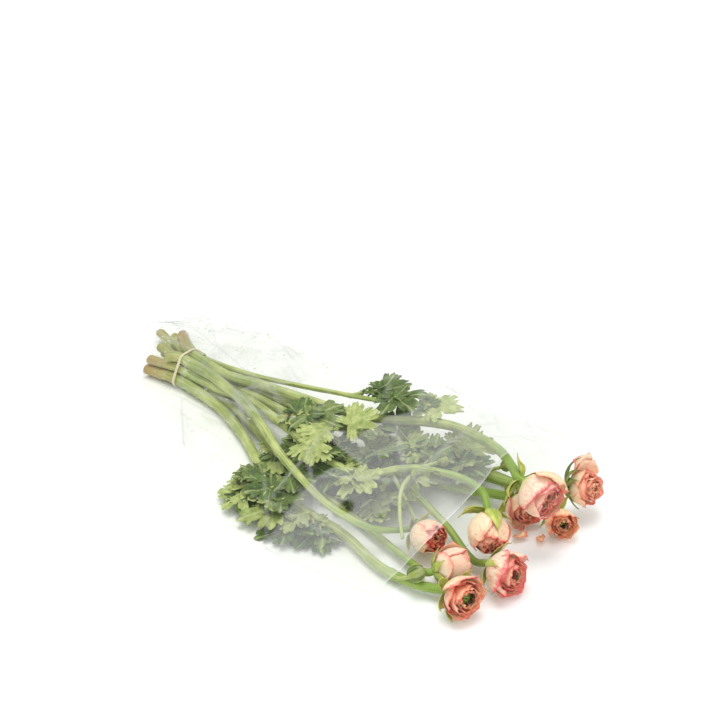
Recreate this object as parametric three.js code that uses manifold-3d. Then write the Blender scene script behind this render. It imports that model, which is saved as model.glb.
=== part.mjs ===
// A bunch of ranunculus lying on its side: nine blooms on long arching stems, a leafy side shoot, an elastic
// band round the cut ends and a clear tapered sleeve. Millimetres, +Z up, +X from the cut ends to the blooms.
import * as THREE from "three";
import { mergeVertices } from "three/addons/utils/BufferGeometryUtils.js";
import Module from "manifold-3d";

const wasm = await Module();
wasm.setup();

// ---- Driving dimensions -------------------------------------------------------------------------------------
const SLEEVE = { wall: 0.8, across: 10, slack: 2, edgeHeight: 3.2, taut: 0.5, rounds: 60 };
const FLOOR = SLEEVE.wall + 0.4; // what lies in the sleeve stays above its lower sheet
const BAND = { x: -228, width: 2.4, thick: 1.3, gap: 0.5, corners: 16 };
const BAND_ROOM = BAND.gap + BAND.thick + 0.35;
const STEM = { sides: 6, step: 5, gap: 0.5, bend: 0.4 };
const BLOOM = { spiral: 0.07, thick: 0.043, column: 0.21, eye: 0.27, floor: -0.3, pieceGap: 0.3 };
const LEAF = { thick: 0.9, clear: 0.7, reach: 6.5, stalk: 1.3 };
const SEPAL = { thick: 0.8, clear: 0.7, count: 5, length: 60, sleeveTo: 122 };
const GREEN = 0x7d9a3c;
const PINK = 0xefab96;
const FILM = 0xeef2f0;
const TAN = 0xd9c79a;

const deg = THREE.MathUtils.degToRad;
const vec = (x, y, z) => new THREE.Vector3(x, y, z);

// Seeded draws, so that every build is the same.
function makeRandom(seed) {
  let state = seed;
  return () => {
    state = (state * 1664525 + 1013904223) % 4294967296;
    return state / 4294967296;
  };
}

// ---- The plan: each bloom's centre, the way it faces, its radius, and the route of its stem ------------------
// Radii of a stem are at its cut end and at its neck. A route runs from the cut end to just short of the bloom.
// Flare scales how far a bloom's sepals stand off.
const PLAN = [
  { name: "flower_1", centre: [162.8, 12.7, 56], axis: [0.93, 0.05, -0.35], radius: 19.9, stem: [4.8, 4.0],
    route: [[-260, 29, 24], [-228, 10.4, 24.6], [-179, 8, 24], [-151, 16, 24], [-106, 21, 27], [-61, 25, 31],
      [-23, 36, 34], [14, 53, 39], [49, 55, 46], [96, 42, 55], [126, 23, 61]] },
  { name: "flower_2", centre: [165.6, 75.5, 30], axis: [0.927, 0.36, 0.1], radius: 17, stem: [4.6, 4.2],
    route: [[-272, 29, 16], [-228, 14.4, 16.4], [-164, 17, 15], [-92, 23, 15], [-14, 30, 15], [41, 42, 15],
      [84, 51, 15], [113, 57, 17], [136, 65, 24]] },
  { name: "flower_3", centre: [135.5, 32, 18.5], axis: [0.937, -0.33, 0.11], radius: 16.8, stem: [4.4, 3.8],
    route: [[-272, 15, 8], [-228, 9.4, 7.8], [-150, 12, 6.5], [-60, 10, 6.5], [20, 18, 6.5], [70, 30, 8],
      [98, 38, 12]] },
  { name: "flower_4", centre: [167, 39.5, 15.2], axis: [0.8, -0.58, 0.1], radius: 14.4, stem: [4.2, 3.4],
    route: [[-297, 36, 8], [-228, 19, 7.8], [-150, 27, 6.5], [-60, 40, 6.5], [20, 56, 6.5], [80, 66, 6.5],
      [115, 67, 7.5], [141, 59, 10.5]] },
  { name: "flower_5", centre: [143, -27, 32], axis: [0.609, -0.609, -0.508], radius: 18.5, stem: [4.4, 3.1],
    route: [[-262, -11, 16.4], [-228, -4.5, 16.4], [-180, -4, 17], [-140, -3, 19], [-82, -17, 23],
      [-33, -32, 27], [5, -36, 30], [26, -25, 34], [44, -9, 38], [74, 3, 41], [99, 3, 44], [118, -4, 46]] },
  { name: "flower_6", centre: [177.5, -45, 20.5], axis: [0.98, -0.02, 0.12], radius: 19.4, stem: [4.4, 2.9],
    route: [[-270, 10, 16.4], [-228, 5, 16.4], [-159, 9, 15], [-78, 8, 15], [-23, 1, 15], [45, -8, 15],
      [94, -22, 13], [125, -36, 10.5], [142, -43, 12]] },
  { name: "flower_7", centre: [170.8, -92.5, 21.8], axis: [0.865, -0.378, 0.324], radius: 18.9, flare: 0.5,
    stem: [4.8, 3.8],
    route: [[-264, -14, 6.5], [-228, -9.5, 7.8], [-175, -14, 6.5], [-127, -31, 6.5], [-87, -52, 6.5],
      [-28, -76, 6.5], [33, -80, 6.5], [81, -92, 6.5], [115, -93, 8], [137, -88, 10]] },
  { name: "flower_8", centre: [137.8, -64.2, 19.6], axis: [0.58, 0.77, 0.2], radius: 17, flare: 0.2,
    stem: [4.2, 3.0],
    route: [[-270, -3, 7], [-228, 0, 7.8], [-171, -5, 6.5], [-100, -26, 6.5], [-40, -46, 6.5], [30, -58, 6.5],
      [75, -68, 7.5], [105, -75, 9], [119, -80, 12]] },
  { name: "flower_9", centre: [99.7, -50, 20.5], axis: [0.97, -0.11, 0.216], radius: 15.8, stem: [5.2, 2.4],
    route: [[-243, -9, 25], [-228, 0.2, 24.6], [-171, -6, 24], [-129, -18, 25], [-94, -35, 26], [-53, -56, 28],
      [7, -77, 28], [40, -80, 26], [60, -74, 22], [72, -60, 18]] },
  { name: "side_shoot", stem: [2.7, 1.8],
    route: [[-258, 33, 17], [-228, 23, 16.2], [-171, 27, 20], [-129, 37, 23], [-90, 45, 28], [-51, 52, 34],
      [-23, 59, 39], [1, 63, 42]] },
];
const NECK_PINNED = 6; // samples of a stem nearest its bloom that never move

// Leaves by stem: where on the stem each one grows (by x), where the middle of its blade lies, how long it is.
const LEAVES = {
  flower_7: [
    { from: -92, to: [-56, -98, 5], size: 27 },
    { from: -80, to: [-62, -80, 9], size: 35 },
    { from: -52, to: [-26, -99, 7], size: 36 },
    { from: -24, to: [-4, -107, 4], size: 30 },
    { from: -4, to: [22, -97, 5], size: 27 },
  ],
  flower_8: [
    { from: -96, to: [-66, -50, 12], size: 26 },
    { from: -10, to: [36, -34, 9], size: 31 },
  ],
  flower_5: [
    { from: -104, to: [-62, -1, 36], size: 33 },
    { from: -8, to: [24, -48, 34], size: 26 },
  ],
  flower_6: [
    { from: -84, to: [-56, -28, 21], size: 31 },
    { from: -60, to: [-16, -18, 20], size: 33 },
    { from: -12, to: [4, 12, 22], size: 31 },
    { from: 6, to: [38, 6, 21], size: 31 },
  ],
  flower_2: [
    { from: 0, to: [24, 30, 27], size: 31 },
    { from: 16, to: [52, 66, 22], size: 33 },
    { from: 40, to: [72, 38, 24], size: 27 },
  ],
  side_shoot: [
    { from: -70, to: [-46, 76, 34], size: 28 },
    { from: -30, to: [-14, 50, 48], size: 31 },
    { from: -1, to: [16, 66, 47], size: 28 },
  ],
};

// Unopened buds by stem: where each one's stalk leaves the stem (by x), its middle, radius and the way it points.
const BUDS = {
  flower_7: [{ from: 98, at: [122.5, -93, 20.5], radius: 7.4, points: [0.6, 0.4, 0.6] }],
  flower_2: [{ from: 72, at: [92, 62, 25], radius: 4.6, points: [0.8, 0.3, 0.5] }],
  flower_5: [
    { from: 50, at: [67, 8, 48], radius: 4.8, points: [0.7, 0.2, 0.6] },
    { from: 34, at: [72, -31, 7], radius: 3.6, points: [0.6, -0.3, -0.5] },
  ],
};

// The sleeve's two side edges as it lies, front and back, from the stem end to the mouth; the last number is
// how far the middle of the sleeve reaches beyond the line between them.
const EDGES = [
  { front: [-257, -30], back: [-317, 54], bulge: 0 },
  { front: [-222, -40], back: [-289, 92], bulge: 0 },
  { front: [-182, -60], back: [-237, 111], bulge: 0 },
  { front: [-139, -83], back: [-177, 121], bulge: 0 },
  { front: [-110, -98], back: [-126, 124], bulge: 0 },
  { front: [-83, -112], back: [-78, 126], bulge: 0 },
  { front: [-54, -128], back: [-38, 132], bulge: 0 },
  { front: [-26, -133], back: [-2, 141], bulge: 0 },
  { front: [2, -132], back: [28, 149], bulge: 1 },
  { front: [29, -129], back: [52, 156], bulge: 4 },
  { front: [55, -126], back: [71, 160], bulge: 9 },
  { front: [80, -123], back: [85, 162], bulge: 14 },
  { front: [101, -120], back: [97, 163], bulge: 18 },
];

// ---- Curves and the settling of the stems -------------------------------------------------------------------
// A point on the Catmull-Rom curve through four neighbours, t from 0 to 1 between the middle two.
function curvePoint(a, b, c, d, t) {
  const at = (p, q, r, s) =>
    0.5 * (2 * q + (r - p) * t + (2 * p - 5 * q + 4 * r - s) * t * t + (3 * q - 3 * r + s - p) * t * t * t);
  return vec(at(a.x, b.x, c.x, d.x), at(a.y, b.y, c.y, d.y), at(a.z, b.z, c.z, d.z));
}

// Samples the curve through the points, about one each `step` millimetres.
function curveThrough(points, step) {
  const last = points.length - 1;
  const line = [];
  for (let i = 0; i < last; i++) {
    const [a, b] = [points[Math.max(i - 1, 0)], points[i]];
    const [c, d] = [points[i + 1], points[Math.min(i + 2, last)]];
    const count = Math.max(1, Math.round(b.distanceTo(c) / step));
    for (let k = 0; k < count; k++) line.push(curvePoint(a, b, c, d, k / count));
  }
  line.push(points[last].clone());
  return line;
}

function makeStem(plan) {
  const points = plan.route.map((p) => vec(...p));
  if (plan.centre) {
    const axis = vec(...plan.axis).normalize();
    const base = vec(...plan.centre).addScaledVector(axis, -plan.radius - 0.6);
    points.push(base.clone().addScaledVector(axis, -4));
    points.push(base);
  }
  const line = curveThrough(points, STEM.step);
  const [cut, neck] = plan.stem;
  const radii = line.map((_, i) => cut + (neck - cut) * (i / (line.length - 1)));
  return { plan, line, radii, pinned: plan.centre ? NECK_PINNED : 0 };
}

// Pushes apart the samples of two stems that lie closer than their radii and the gap.
function pushApart(a, b, pushA, pushB) {
  a.line.forEach((p, i) => {
    let near = 0;
    let best = Infinity;
    b.line.forEach((q, j) => {
      const d = p.distanceToSquared(q);
      if (d < best) [best, near] = [d, j];
    });
    const overlap = a.radii[i] + b.radii[near] + STEM.gap - Math.sqrt(best);
    if (overlap <= 0) return;
    const way = p.clone().sub(b.line[near]).normalize().multiplyScalar(overlap / 2);
    pushA[i].add(way);
    pushB[near].sub(way);
  });
}

// Keeps a stem's samples out of the other stems' blooms.
function pushFromBlooms(stem, push) {
  for (const { plan } of stems) {
    if (!plan.centre || plan === stem.plan) continue;
    const centre = vec(...plan.centre);
    stem.line.forEach((p, i) => {
      const overlap = plan.radius + stem.radii[i] + 1.5 - p.distanceTo(centre);
      if (overlap > 0) push[i].addScaledVector(p.clone().sub(centre).normalize(), overlap);
    });
  }
}

const smoothed = (list) =>
  list.map((p, i) => {
    const [a, b] = [list[Math.max(i - 1, 0)], list[Math.min(i + 1, list.length - 1)]];
    return p.clone().multiplyScalar(0.5).addScaledVector(a, 0.25).addScaledVector(b, 0.25);
  });

// Lets the stems settle against each other: overlaps become smooth sideways bends, and none sinks in the floor.
function settle(rounds) {
  for (let round = 0; round < rounds; round++) {
    const pushes = stems.map((s) => s.line.map(() => vec(0, 0, 0)));
    stems.forEach((a, i) => {
      stems.forEach((b, j) => {
        if (j > i) pushApart(a, b, pushes[i], pushes[j]);
      });
      pushFromBlooms(a, pushes[i]);
    });
    stems.forEach((s, i) => {
      const push = smoothed(smoothed(pushes[i]));
      const free = s.line.length - s.pinned;
      s.line.forEach((p, k) => {
        if (k < free) p.addScaledVector(push[k], Math.min(1, (free - k) / 6));
        const room = Math.abs(p.x - BAND.x) < 14 ? BAND_ROOM : 0;
        if (k < free) p.z = Math.max(p.z, FLOOR + room + s.radii[k]);
      });
    });
  }
}

const stems = PLAN.map(makeStem);
settle(160);

// ---- Solids from triangle meshes ----------------------------------------------------------------------------
function solidOf(geometry) {
  const bare = geometry.index ? geometry : geometry.clone();
  bare.deleteAttribute("normal");
  bare.deleteAttribute("uv");
  const merged = mergeVertices(bare, 1e-4);
  return new wasm.Manifold(new wasm.Mesh({
    numProp: 3,
    vertProperties: merged.attributes.position.array,
    triVerts: new Uint32Array(merged.index.array),
  }));
}

function geometryOf(points, faces) {
  const geometry = new THREE.BufferGeometry();
  geometry.setAttribute("position", new THREE.Float32BufferAttribute(points.flatMap((p) => [p.x, p.y, p.z]), 3));
  geometry.setIndex(faces.flat());
  return geometry;
}

// Closed body from rings of points, joined one to the next, with a fan over each end ring.
function ringBody(rings) {
  const n = rings[0].length;
  const points = rings.flat();
  const faces = [];
  for (let r = 0; r + 1 < rings.length; r++)
    for (let k = 0; k < n; k++) {
      const [a, b] = [r * n + k, r * n + ((k + 1) % n)];
      faces.push([a, b, b + n], [a, b + n, a + n]);
    }
  const middle = (ring) => ring.reduce((s, p) => s.add(p), vec(0, 0, 0)).divideScalar(n);
  const [start, end] = [points.length, points.length + 1];
  points.push(middle(rings[0]), middle(rings[rings.length - 1]));
  const top = (rings.length - 1) * n;
  for (let k = 0; k < n; k++) {
    faces.push([start, (k + 1) % n, k]);
    faces.push([end, top + k, top + ((k + 1) % n)]);
  }
  return solidOf(geometryOf(points, faces));
}

// Closed ring-shaped body: the last ring of points is the first one again. From ring `turned` on, each quad
// is split along its other diagonal.
function tube(rings, turned = rings.length) {
  const n = rings[0].length;
  const points = rings.slice(0, -1).flat();
  const total = points.length;
  const faces = [];
  for (let r = 0; r + 1 < rings.length; r++)
    for (let k = 0; k < n; k++) {
      const [a, b] = [r * n + k, r * n + ((k + 1) % n)];
      const [c, d] = [(a + n) % total, (b + n) % total];
      if (r < turned) faces.push([a, b, d], [a, d, c]);
      else faces.push([a, b, c], [b, d, c]);
    }
  return solidOf(geometryOf(points, faces));
}

// Round rod along a line of points, its radius given for each. Its rings never twist.
function rod(line, radii, sides) {
  let side = vec(0, 0, 1);
  const rings = line.map((p, i) => {
    const along = line[Math.min(i + 1, line.length - 1)].clone().sub(line[Math.max(i - 1, 0)]).normalize();
    side = side.addScaledVector(along, -side.dot(along)).normalize();
    const other = along.clone().cross(side);
    return Array.from({ length: sides }, (_, k) => {
      const turn = (2 * Math.PI * k) / sides;
      return p.clone()
        .addScaledVector(side, radii[i] * Math.cos(turn))
        .addScaledVector(other, radii[i] * Math.sin(turn));
    });
  });
  return ringBody(rings);
}

// Thin blade from two alike grids of points, its upper and its lower face, with walls round the rim.
function blade(upper, lower) {
  const [rows, cols] = [upper.length, upper[0].length];
  const points = [...upper.flat(), ...lower.flat()];
  const under = rows * cols;
  const faces = [];
  const quad = (a, b, c, d) => faces.push([a, b, c], [a, c, d]);
  for (let r = 0; r + 1 < rows; r++)
    for (let c = 0; c + 1 < cols; c++) {
      const a = r * cols + c;
      quad(a, a + 1, a + cols + 1, a + cols);
      faces.push([under + a, under + a + cols + 1, under + a + 1]);
      faces.push([under + a, under + a + cols, under + a + cols + 1]);
    }
  const rim = [];
  for (let c = 0; c < cols - 1; c++) rim.push(c);
  for (let r = 0; r < rows - 1; r++) rim.push(r * cols + cols - 1);
  for (let c = cols - 1; c > 0; c--) rim.push((rows - 1) * cols + c);
  for (let r = rows - 1; r > 0; r--) rim.push(r * cols);
  rim.forEach((a, i) => {
    const b = rim[(i + 1) % rim.length];
    quad(a, under + a, under + b, b);
  });
  return solidOf(geometryOf(points, faces));
}

const joined = (solids) => wasm.Manifold.union(solids);

function meshOf(name, solid, colour, look = {}) {
  const { vertProperties, triVerts } = solid.getMesh();
  const geometry = new THREE.BufferGeometry();
  geometry.setAttribute("position", new THREE.Float32BufferAttribute(vertProperties, 3));
  geometry.setIndex(Array.from(triVerts));
  geometry.computeVertexNormals();
  const material = new THREE.MeshStandardMaterial({ color: colour, roughness: 0.6, metalness: 0, ...look });
  const mesh = new THREE.Mesh(geometry, material);
  mesh.name = name;
  return mesh;
}

// ---- Blooms -------------------------------------------------------------------------------------------------
// A bloom's own frame: z along the way it faces, x and y across, origin at the globe's centre.
function bloomFrame({ centre, axis }) {
  const z = vec(...axis).normalize();
  const x = vec(0, 0, 1).addScaledVector(z, -z.z).normalize();
  const y = z.clone().cross(x);
  return (p) => vec(...centre).addScaledVector(x, p.x).addScaledVector(y, p.y).addScaledVector(z, p.z);
}

// Point on a globe at a turn round its axis and a height angle.
const onGlobe = (radius, turn, rise) =>
  vec(
    radius * Math.cos(rise) * Math.cos(turn),
    radius * Math.cos(rise) * Math.sin(turn),
    radius * Math.sin(rise),
  );

// Circle of points round the bloom's axis.
const circle = (frame, radius, z, sides) =>
  Array.from({ length: sides }, (_, k) => {
    const turn = (2 * Math.PI * k) / sides;
    return frame(vec(radius * Math.cos(turn), radius * Math.sin(turn), z));
  });

// The outer petals. Inset, spiral and thickness are parts of the bloom's radius.
const OUTER = { petals: 4, columns: 3, column: 36, inset: 0.09, rim: 46, foot: 0.36 };

// One petal: a patch of the globe from its foot to a rounded rim. One edge lies further out than the other,
// so that each petal tucks under the next.
function petal(frame, size, middle) {
  const radius = size * (1 - OUTER.inset);
  const foot = -Math.acos(OUTER.foot / (1 - OUTER.inset));
  const face = (out) =>
    [0, 0.33, 0.66, 1].map((v) =>
      Array.from({ length: OUTER.columns + 1 }, (_, c) => {
        const u = (2 * c) / OUTER.columns - 1;
        const turn = deg(middle + (v ? 0.5 : 0.3) * u * OUTER.columns * OUTER.column);
        const rise = foot + (deg(OUTER.rim - 14 * u * u) - foot) * v;
        return frame(onGlobe(radius + size * (out + BLOOM.spiral * u), turn, rise));
      }));
  return blade(face(BLOOM.thick / 2), face(-BLOOM.thick / 2));
}

// The tightly wrapped inner petals: a cup round the column, from its foot up its outside, over its rim and
// down its inside to the floor of the bloom. Radius and height are parts of the bloom's radius. Round the
// axis it steps out and in three times, as three petals tucked into one another.
const CUP = [[0.46, -0.8], [0.66, -0.45], [0.7, 0.05], [0.58, 0.52], [0.46, 0.46], [0.5, 0], [0.36, -0.28]];
const TUCK = [[1.07, 0], [1.02, 0.05], [0.94, -0.03]];

function innerCup(frame, size) {
  const hole = (BLOOM.column * size + BLOOM.pieceGap) / Math.cos(Math.PI / 9);
  const around = (r, z, tucked) =>
    Array.from({ length: 9 }, (_, k) => {
      const turn = (2 * Math.PI * k) / 9;
      const [wide, high] = tucked ? TUCK[k % 3] : [1, 0];
      const far = r * wide;
      return frame(vec(far * Math.cos(turn), far * Math.sin(turn), z + high * size * (z > 0 ? 1 : 0)));
    });
  const foot = around(hole, -0.8 * size, false);
  const rings = [foot, ...CUP.map(([r, z]) => around(r * size, z * size, true))];
  return tube([...rings, around(hole, BLOOM.floor * size, false), foot]);
}

function bloomPetals(plan) {
  const frame = bloomFrame(plan);
  const solids = [innerCup(frame, plan.radius)];
  for (let k = 0; k < OUTER.petals; k++) solids.push(petal(frame, plan.radius, (360 * k) / OUTER.petals));
  return joined(solids);
}

// The stem's end: a column through the middle of the petals and the knobbly green eye on top of it, as
// points along the bloom's axis and the radius at each.
function columnRings({ centre, axis, radius }) {
  const top = BLOOM.floor * radius + BLOOM.pieceGap;
  const shaft = BLOOM.column * radius;
  const eye = BLOOM.eye * radius;
  const heights = [[-0.85 * radius, shaft], [top, shaft], [top + 0.2, eye], [top + 0.5 * eye, eye],
    [top + 1.2 * eye, 0.5 * eye]];
  const way = vec(...axis).normalize();
  return heights.map(([z, r]) => ({ p: vec(...centre).addScaledVector(way, z), r }));
}

// Green sepals: narrow pointed blades from the neck that hug the back of the globe and flare at the tip.
function sepals(plan, random) {
  const frame = bloomFrame(plan);
  const made = [];
  for (let k = 0; k < SEPAL.count; k++) {
    const middle = (2 * Math.PI * (k + 0.5 + 0.3 * (random() - 0.5))) / SEPAL.count;
    const flare = (1.5 + 3.5 * random()) * (plan.flare ?? 1);
    const face = (half) =>
      [0, 0.5, 1].map((v, row) =>
        [-1, 1].map((u) => {
          const rise = deg(-85 + SEPAL.length * v);
          const width = [0.5, 0.36, 0.06][row];
          const away = SEPAL.clear + SEPAL.thick / 2 + 0.4 + flare * v * v;
          const p = frame(onGlobe(plan.radius + away + half, middle + u * width, rise));
          const low = (p.x < SEPAL.sleeveTo ? FLOOR : 0.3) + SEPAL.thick / 2 - half;
          return p.setZ(Math.max(p.z, low));
        }));
    made.push(blade(face(SEPAL.thick / 2), face(-SEPAL.thick / 2)));
  }
  return made;
}

// An unopened bud: a small pointed globe on a short stalk.
function bud(stem, spec) {
  const start = stem.line[nearest(stem, spec.from)];
  const middle = vec(...spec.at);
  const frame = bloomFrame({ centre: spec.at, axis: spec.points });
  const base = frame(vec(0, 0, -spec.radius * 0.8));
  const bend = frame(vec(0, 0, -spec.radius * 1.8)).lerp(start, 0.3);
  const line = curveThrough([start.clone(), bend, base], 6);
  const stalk = rod(line, line.map(() => 1.6), 4);
  const profile = [[0.4, -0.92], [0.95, -0.4], [0.9, 0.4], [0.25, 1.02]];
  const globe = ringBody(profile.map(([r, z]) => circle(frame, r * spec.radius, z * spec.radius, 7)));
  return [stalk, globe];
}

// ---- Leaves -------------------------------------------------------------------------------------------------
// Index of a stem's sample nearest to an x.
const nearest = (stem, x) =>
  stem.line.reduce((best, p, i) => (Math.abs(p.x - x) < Math.abs(stem.line[best].x - x) ? i : best), 0);

// Lifts a point over the stems that pass below a leaf's level, and drops it under those that pass above.
function clearOfStems(p, own, level, half) {
  let low = FLOOR + half;
  let high = 200;
  for (const stem of stems) {
    if (stem === own) continue;
    stem.line.forEach((q, i) => {
      if (Math.hypot(p.x - q.x, p.y - q.y) > stem.radii[i] + LEAF.reach) return;
      const room = stem.radii[i] + LEAF.clear + half;
      if (q.z < level) low = Math.max(low, q.z + room);
      else high = Math.min(high, q.z - room);
    });
  }
  p.z = Math.min(Math.max(p.z, low), high);
  return p;
}

// Outline of a leaf's blade, from its tip round one side to where the stalk joins it: angle from the heading
// and distance from the blade's foot as a part of its length. Three lobes with a tooth each, two at the foot.
const OUTLINE = [[0, 1], [22, 0.7], [34, 0.45], [54, 0.9], [84, 0.5], [118, 0.6], [180, 0.12]];
const ROUND = [...OUTLINE, ...OUTLINE.slice(1, -1).reverse().map(([angle, far]) => [-angle, far])];

// Thin blade from a middle point and rings of points round it, each given for its upper and lower face.
function roundBlade(upper, lower) {
  const n = upper[1].length;
  const points = [...upper.flat(), ...lower.flat()];
  const under = points.length / 2;
  const faces = [];
  for (let k = 0; k < n; k++) {
    const [a, b] = [1 + k, 1 + ((k + 1) % n)];
    faces.push([0, a, b], [under, under + b, under + a]);
    for (let r = 0; r < upper.length - 2; r++) {
      const [c, d] = [a + r * n, b + r * n];
      faces.push([c, c + n, d + n], [c, d + n, d]);
      faces.push([under + c, under + d + n, under + c + n], [under + c, under + d, under + d + n]);
    }
    const rim = (upper.length - 2) * n;
    faces.push([a + rim, under + a + rim, under + b + rim], [a + rim, under + b + rim, b + rim]);
  }
  return solidOf(geometryOf(points, faces));
}

// A lobed leaf on its stalk.
function leaf(stem, spec, random) {
  const level = spec.to[2];
  const start = stem.line[nearest(stem, spec.from)].clone();
  const middle = vec(...spec.to);
  const heading = Math.atan2(middle.y - start.y, middle.x - start.x);
  const base = middle.clone().sub(vec(Math.cos(heading), Math.sin(heading), 0).multiplyScalar(spec.size * 0.3));
  const halfway = start.clone().lerp(base, 0.5).add(vec(0, 0, 1.5));
  const stalkLine = curveThrough([start, halfway, base], 9);
  stalkLine.forEach((p, i) => {
    if (i > 0) clearOfStems(p, stem, level, LEAF.stalk);
  });
  const stalk = rod(stalkLine, stalkLine.map(() => LEAF.stalk), 4);
  const foot = stalkLine[stalkLine.length - 1];
  const wave = ROUND.map(() => 3 * (random() - 0.4));
  const at = (share, half) =>
    ROUND.map(([angle, far], k) => {
      const turn = heading + deg(angle);
      const long = share * far * spec.size;
      const p = vec(foot.x + long * Math.cos(turn), foot.y + long * Math.sin(turn), foot.z);
      p.z += wave[k] * share;
      clearOfStems(p, stem, level, LEAF.thick / 2);
      return p.setZ(p.z + half);
    });
  const face = (half) => [[foot.clone().setZ(foot.z + half)], at(0.5, half), at(1, half)];
  return [stalk, roundBlade(face(LEAF.thick / 2), face(-LEAF.thick / 2))];
}

// ---- Green pieces: each stem with its column, sepals, buds and leaves ----------------------------------------
// Drops the samples a stem can do without: what is left bends no more than `limit` from the full line.
function thinned(points, limit) {
  if (points.length < 3) return points.map((_, i) => i);
  const [a, b] = [points[0], points[points.length - 1]];
  const chord = new THREE.Line3(a, b);
  let far = 0;
  let worst = 0;
  points.forEach((p, i) => {
    const d = chord.closestPointToPoint(p, true, vec(0, 0, 0)).distanceTo(p);
    if (d > worst) [worst, far] = [d, i];
  });
  if (worst < limit) return [0, points.length - 1];
  const before = thinned(points.slice(0, far + 1), limit);
  const after = thinned(points.slice(far), limit).map((i) => i + far);
  return [...before, ...after.slice(1)];
}

function greenBody(stem) {
  const { plan } = stem;
  const random = makeRandom(stem.line.length * 97);
  const keep = thinned(stem.line, STEM.bend);
  const rings = keep.map((i) => ({ p: stem.line[i], r: stem.radii[i] }));
  if (plan.centre) rings.push(...columnRings(plan));
  const solids = [rod(rings.map(({ p }) => p), rings.map(({ r }) => r), STEM.sides)];
  if (plan.centre) solids.push(...sepals(plan, random));
  for (const spec of LEAVES[plan.name] ?? []) solids.push(...leaf(stem, spec, random));
  for (const spec of BUDS[plan.name] ?? []) solids.push(...bud(stem, spec));
  return joined(solids);
}

// ---- Band ---------------------------------------------------------------------------------------------------
// Where each stem crosses the band's plane: its middle and radius.
function crossings(x) {
  return stems.map(({ line, radii }) => {
    const i = line.findIndex((p, k) => k > 0 && p.x >= x);
    const t = (x - line[i - 1].x) / (line[i].x - line[i - 1].x);
    const p = line[i - 1].clone().lerp(line[i], t);
    return { y: p.y, z: p.z, radius: radii[i] };
  });
}

// Outline that hugs all the stems at a distance, as the crossing points of lines that touch them all round.
function hugging(x, distance) {
  const found = crossings(x);
  const reach = (turn) => Math.max(...found.map((c) => c.y * Math.cos(turn) + c.z * Math.sin(turn) + c.radius));
  const step = (2 * Math.PI) / BAND.corners;
  return Array.from({ length: BAND.corners }, (_, k) => {
    const [a, b] = [k * step, (k + 1) * step];
    const [da, db] = [reach(a) + distance, reach(b) + distance];
    const y = (da * Math.sin(b) - db * Math.sin(a)) / Math.sin(step);
    const z = (db * Math.cos(a) - da * Math.cos(b)) / Math.sin(step);
    return [y, z];
  });
}

function bandBody() {
  const loop = (distance, dx) => hugging(BAND.x, distance).map(([y, z]) => vec(BAND.x + dx, y, z));
  const half = BAND.width / 2;
  const [near, far] = [BAND.gap, BAND.gap + BAND.thick];
  const rings = [loop(near, -half), loop(far, -half), loop(far, half), loop(near, half)];
  return tube([...rings, rings[0]]);
}

// ---- Sleeve -------------------------------------------------------------------------------------------------
const lerp = (a, b, t) => a + (b - a) * t;

// Point of the sleeve's plan at a station (whole or part) and a fraction across from the front edge.
function planPoint(station, across) {
  const i = Math.min(Math.floor(station), EDGES.length - 2);
  const t = station - i;
  const at = (e) => {
    const [x, y] = [0, 1].map((k) => lerp(e.front[k], e.back[k], across));
    return [x + e.bulge * 4 * across * (1 - across), y];
  };
  const [a, b] = [at(EDGES[i]), at(EDGES[i + 1])];
  return [lerp(a[0], b[0], t), lerp(a[1], b[1], t)];
}

// Station and fraction across for a point of the plan, found by closing in on it step by step.
function planPlace(x, y) {
  let station = 7;
  let across = 0.5;
  for (let k = 0; k < 12; k++) {
    const [px, py] = planPoint(station, across);
    const [sx, sy] = planPoint(station + 0.05, across);
    const [ax, ay] = planPoint(station, across + 0.02);
    const [a, b, c, d] = [(sx - px) / 0.05, (ax - px) / 0.02, (sy - py) / 0.05, (ay - py) / 0.02];
    const [ex, ey] = [x - px, y - py];
    const det = a * d - b * c;
    station += (ex * d - b * ey) / det;
    across += (a * ey - c * ex) / det;
    station = Math.min(Math.max(station, 0), EDGES.length - 1.001);
    across = Math.min(Math.max(across, -0.2), 1.2);
  }
  return [station, across];
}

// The three corners of the sheet's triangle a place lies in, and the share each has in the height there.
function cornersAt(station, across) {
  const [i, j] = [Math.floor(station), Math.min(Math.floor(across * SLEEVE.across), SLEEVE.across - 1)];
  const [s, f] = [station - i, across * SLEEVE.across - j];
  return f <= s
    ? [[i, j, 1 - s], [i + 1, j, s - f], [i + 1, j + 1, f]]
    : [[i, j, 1 - f], [i, j + 1, f - s], [i + 1, j + 1, s]];
}

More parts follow.
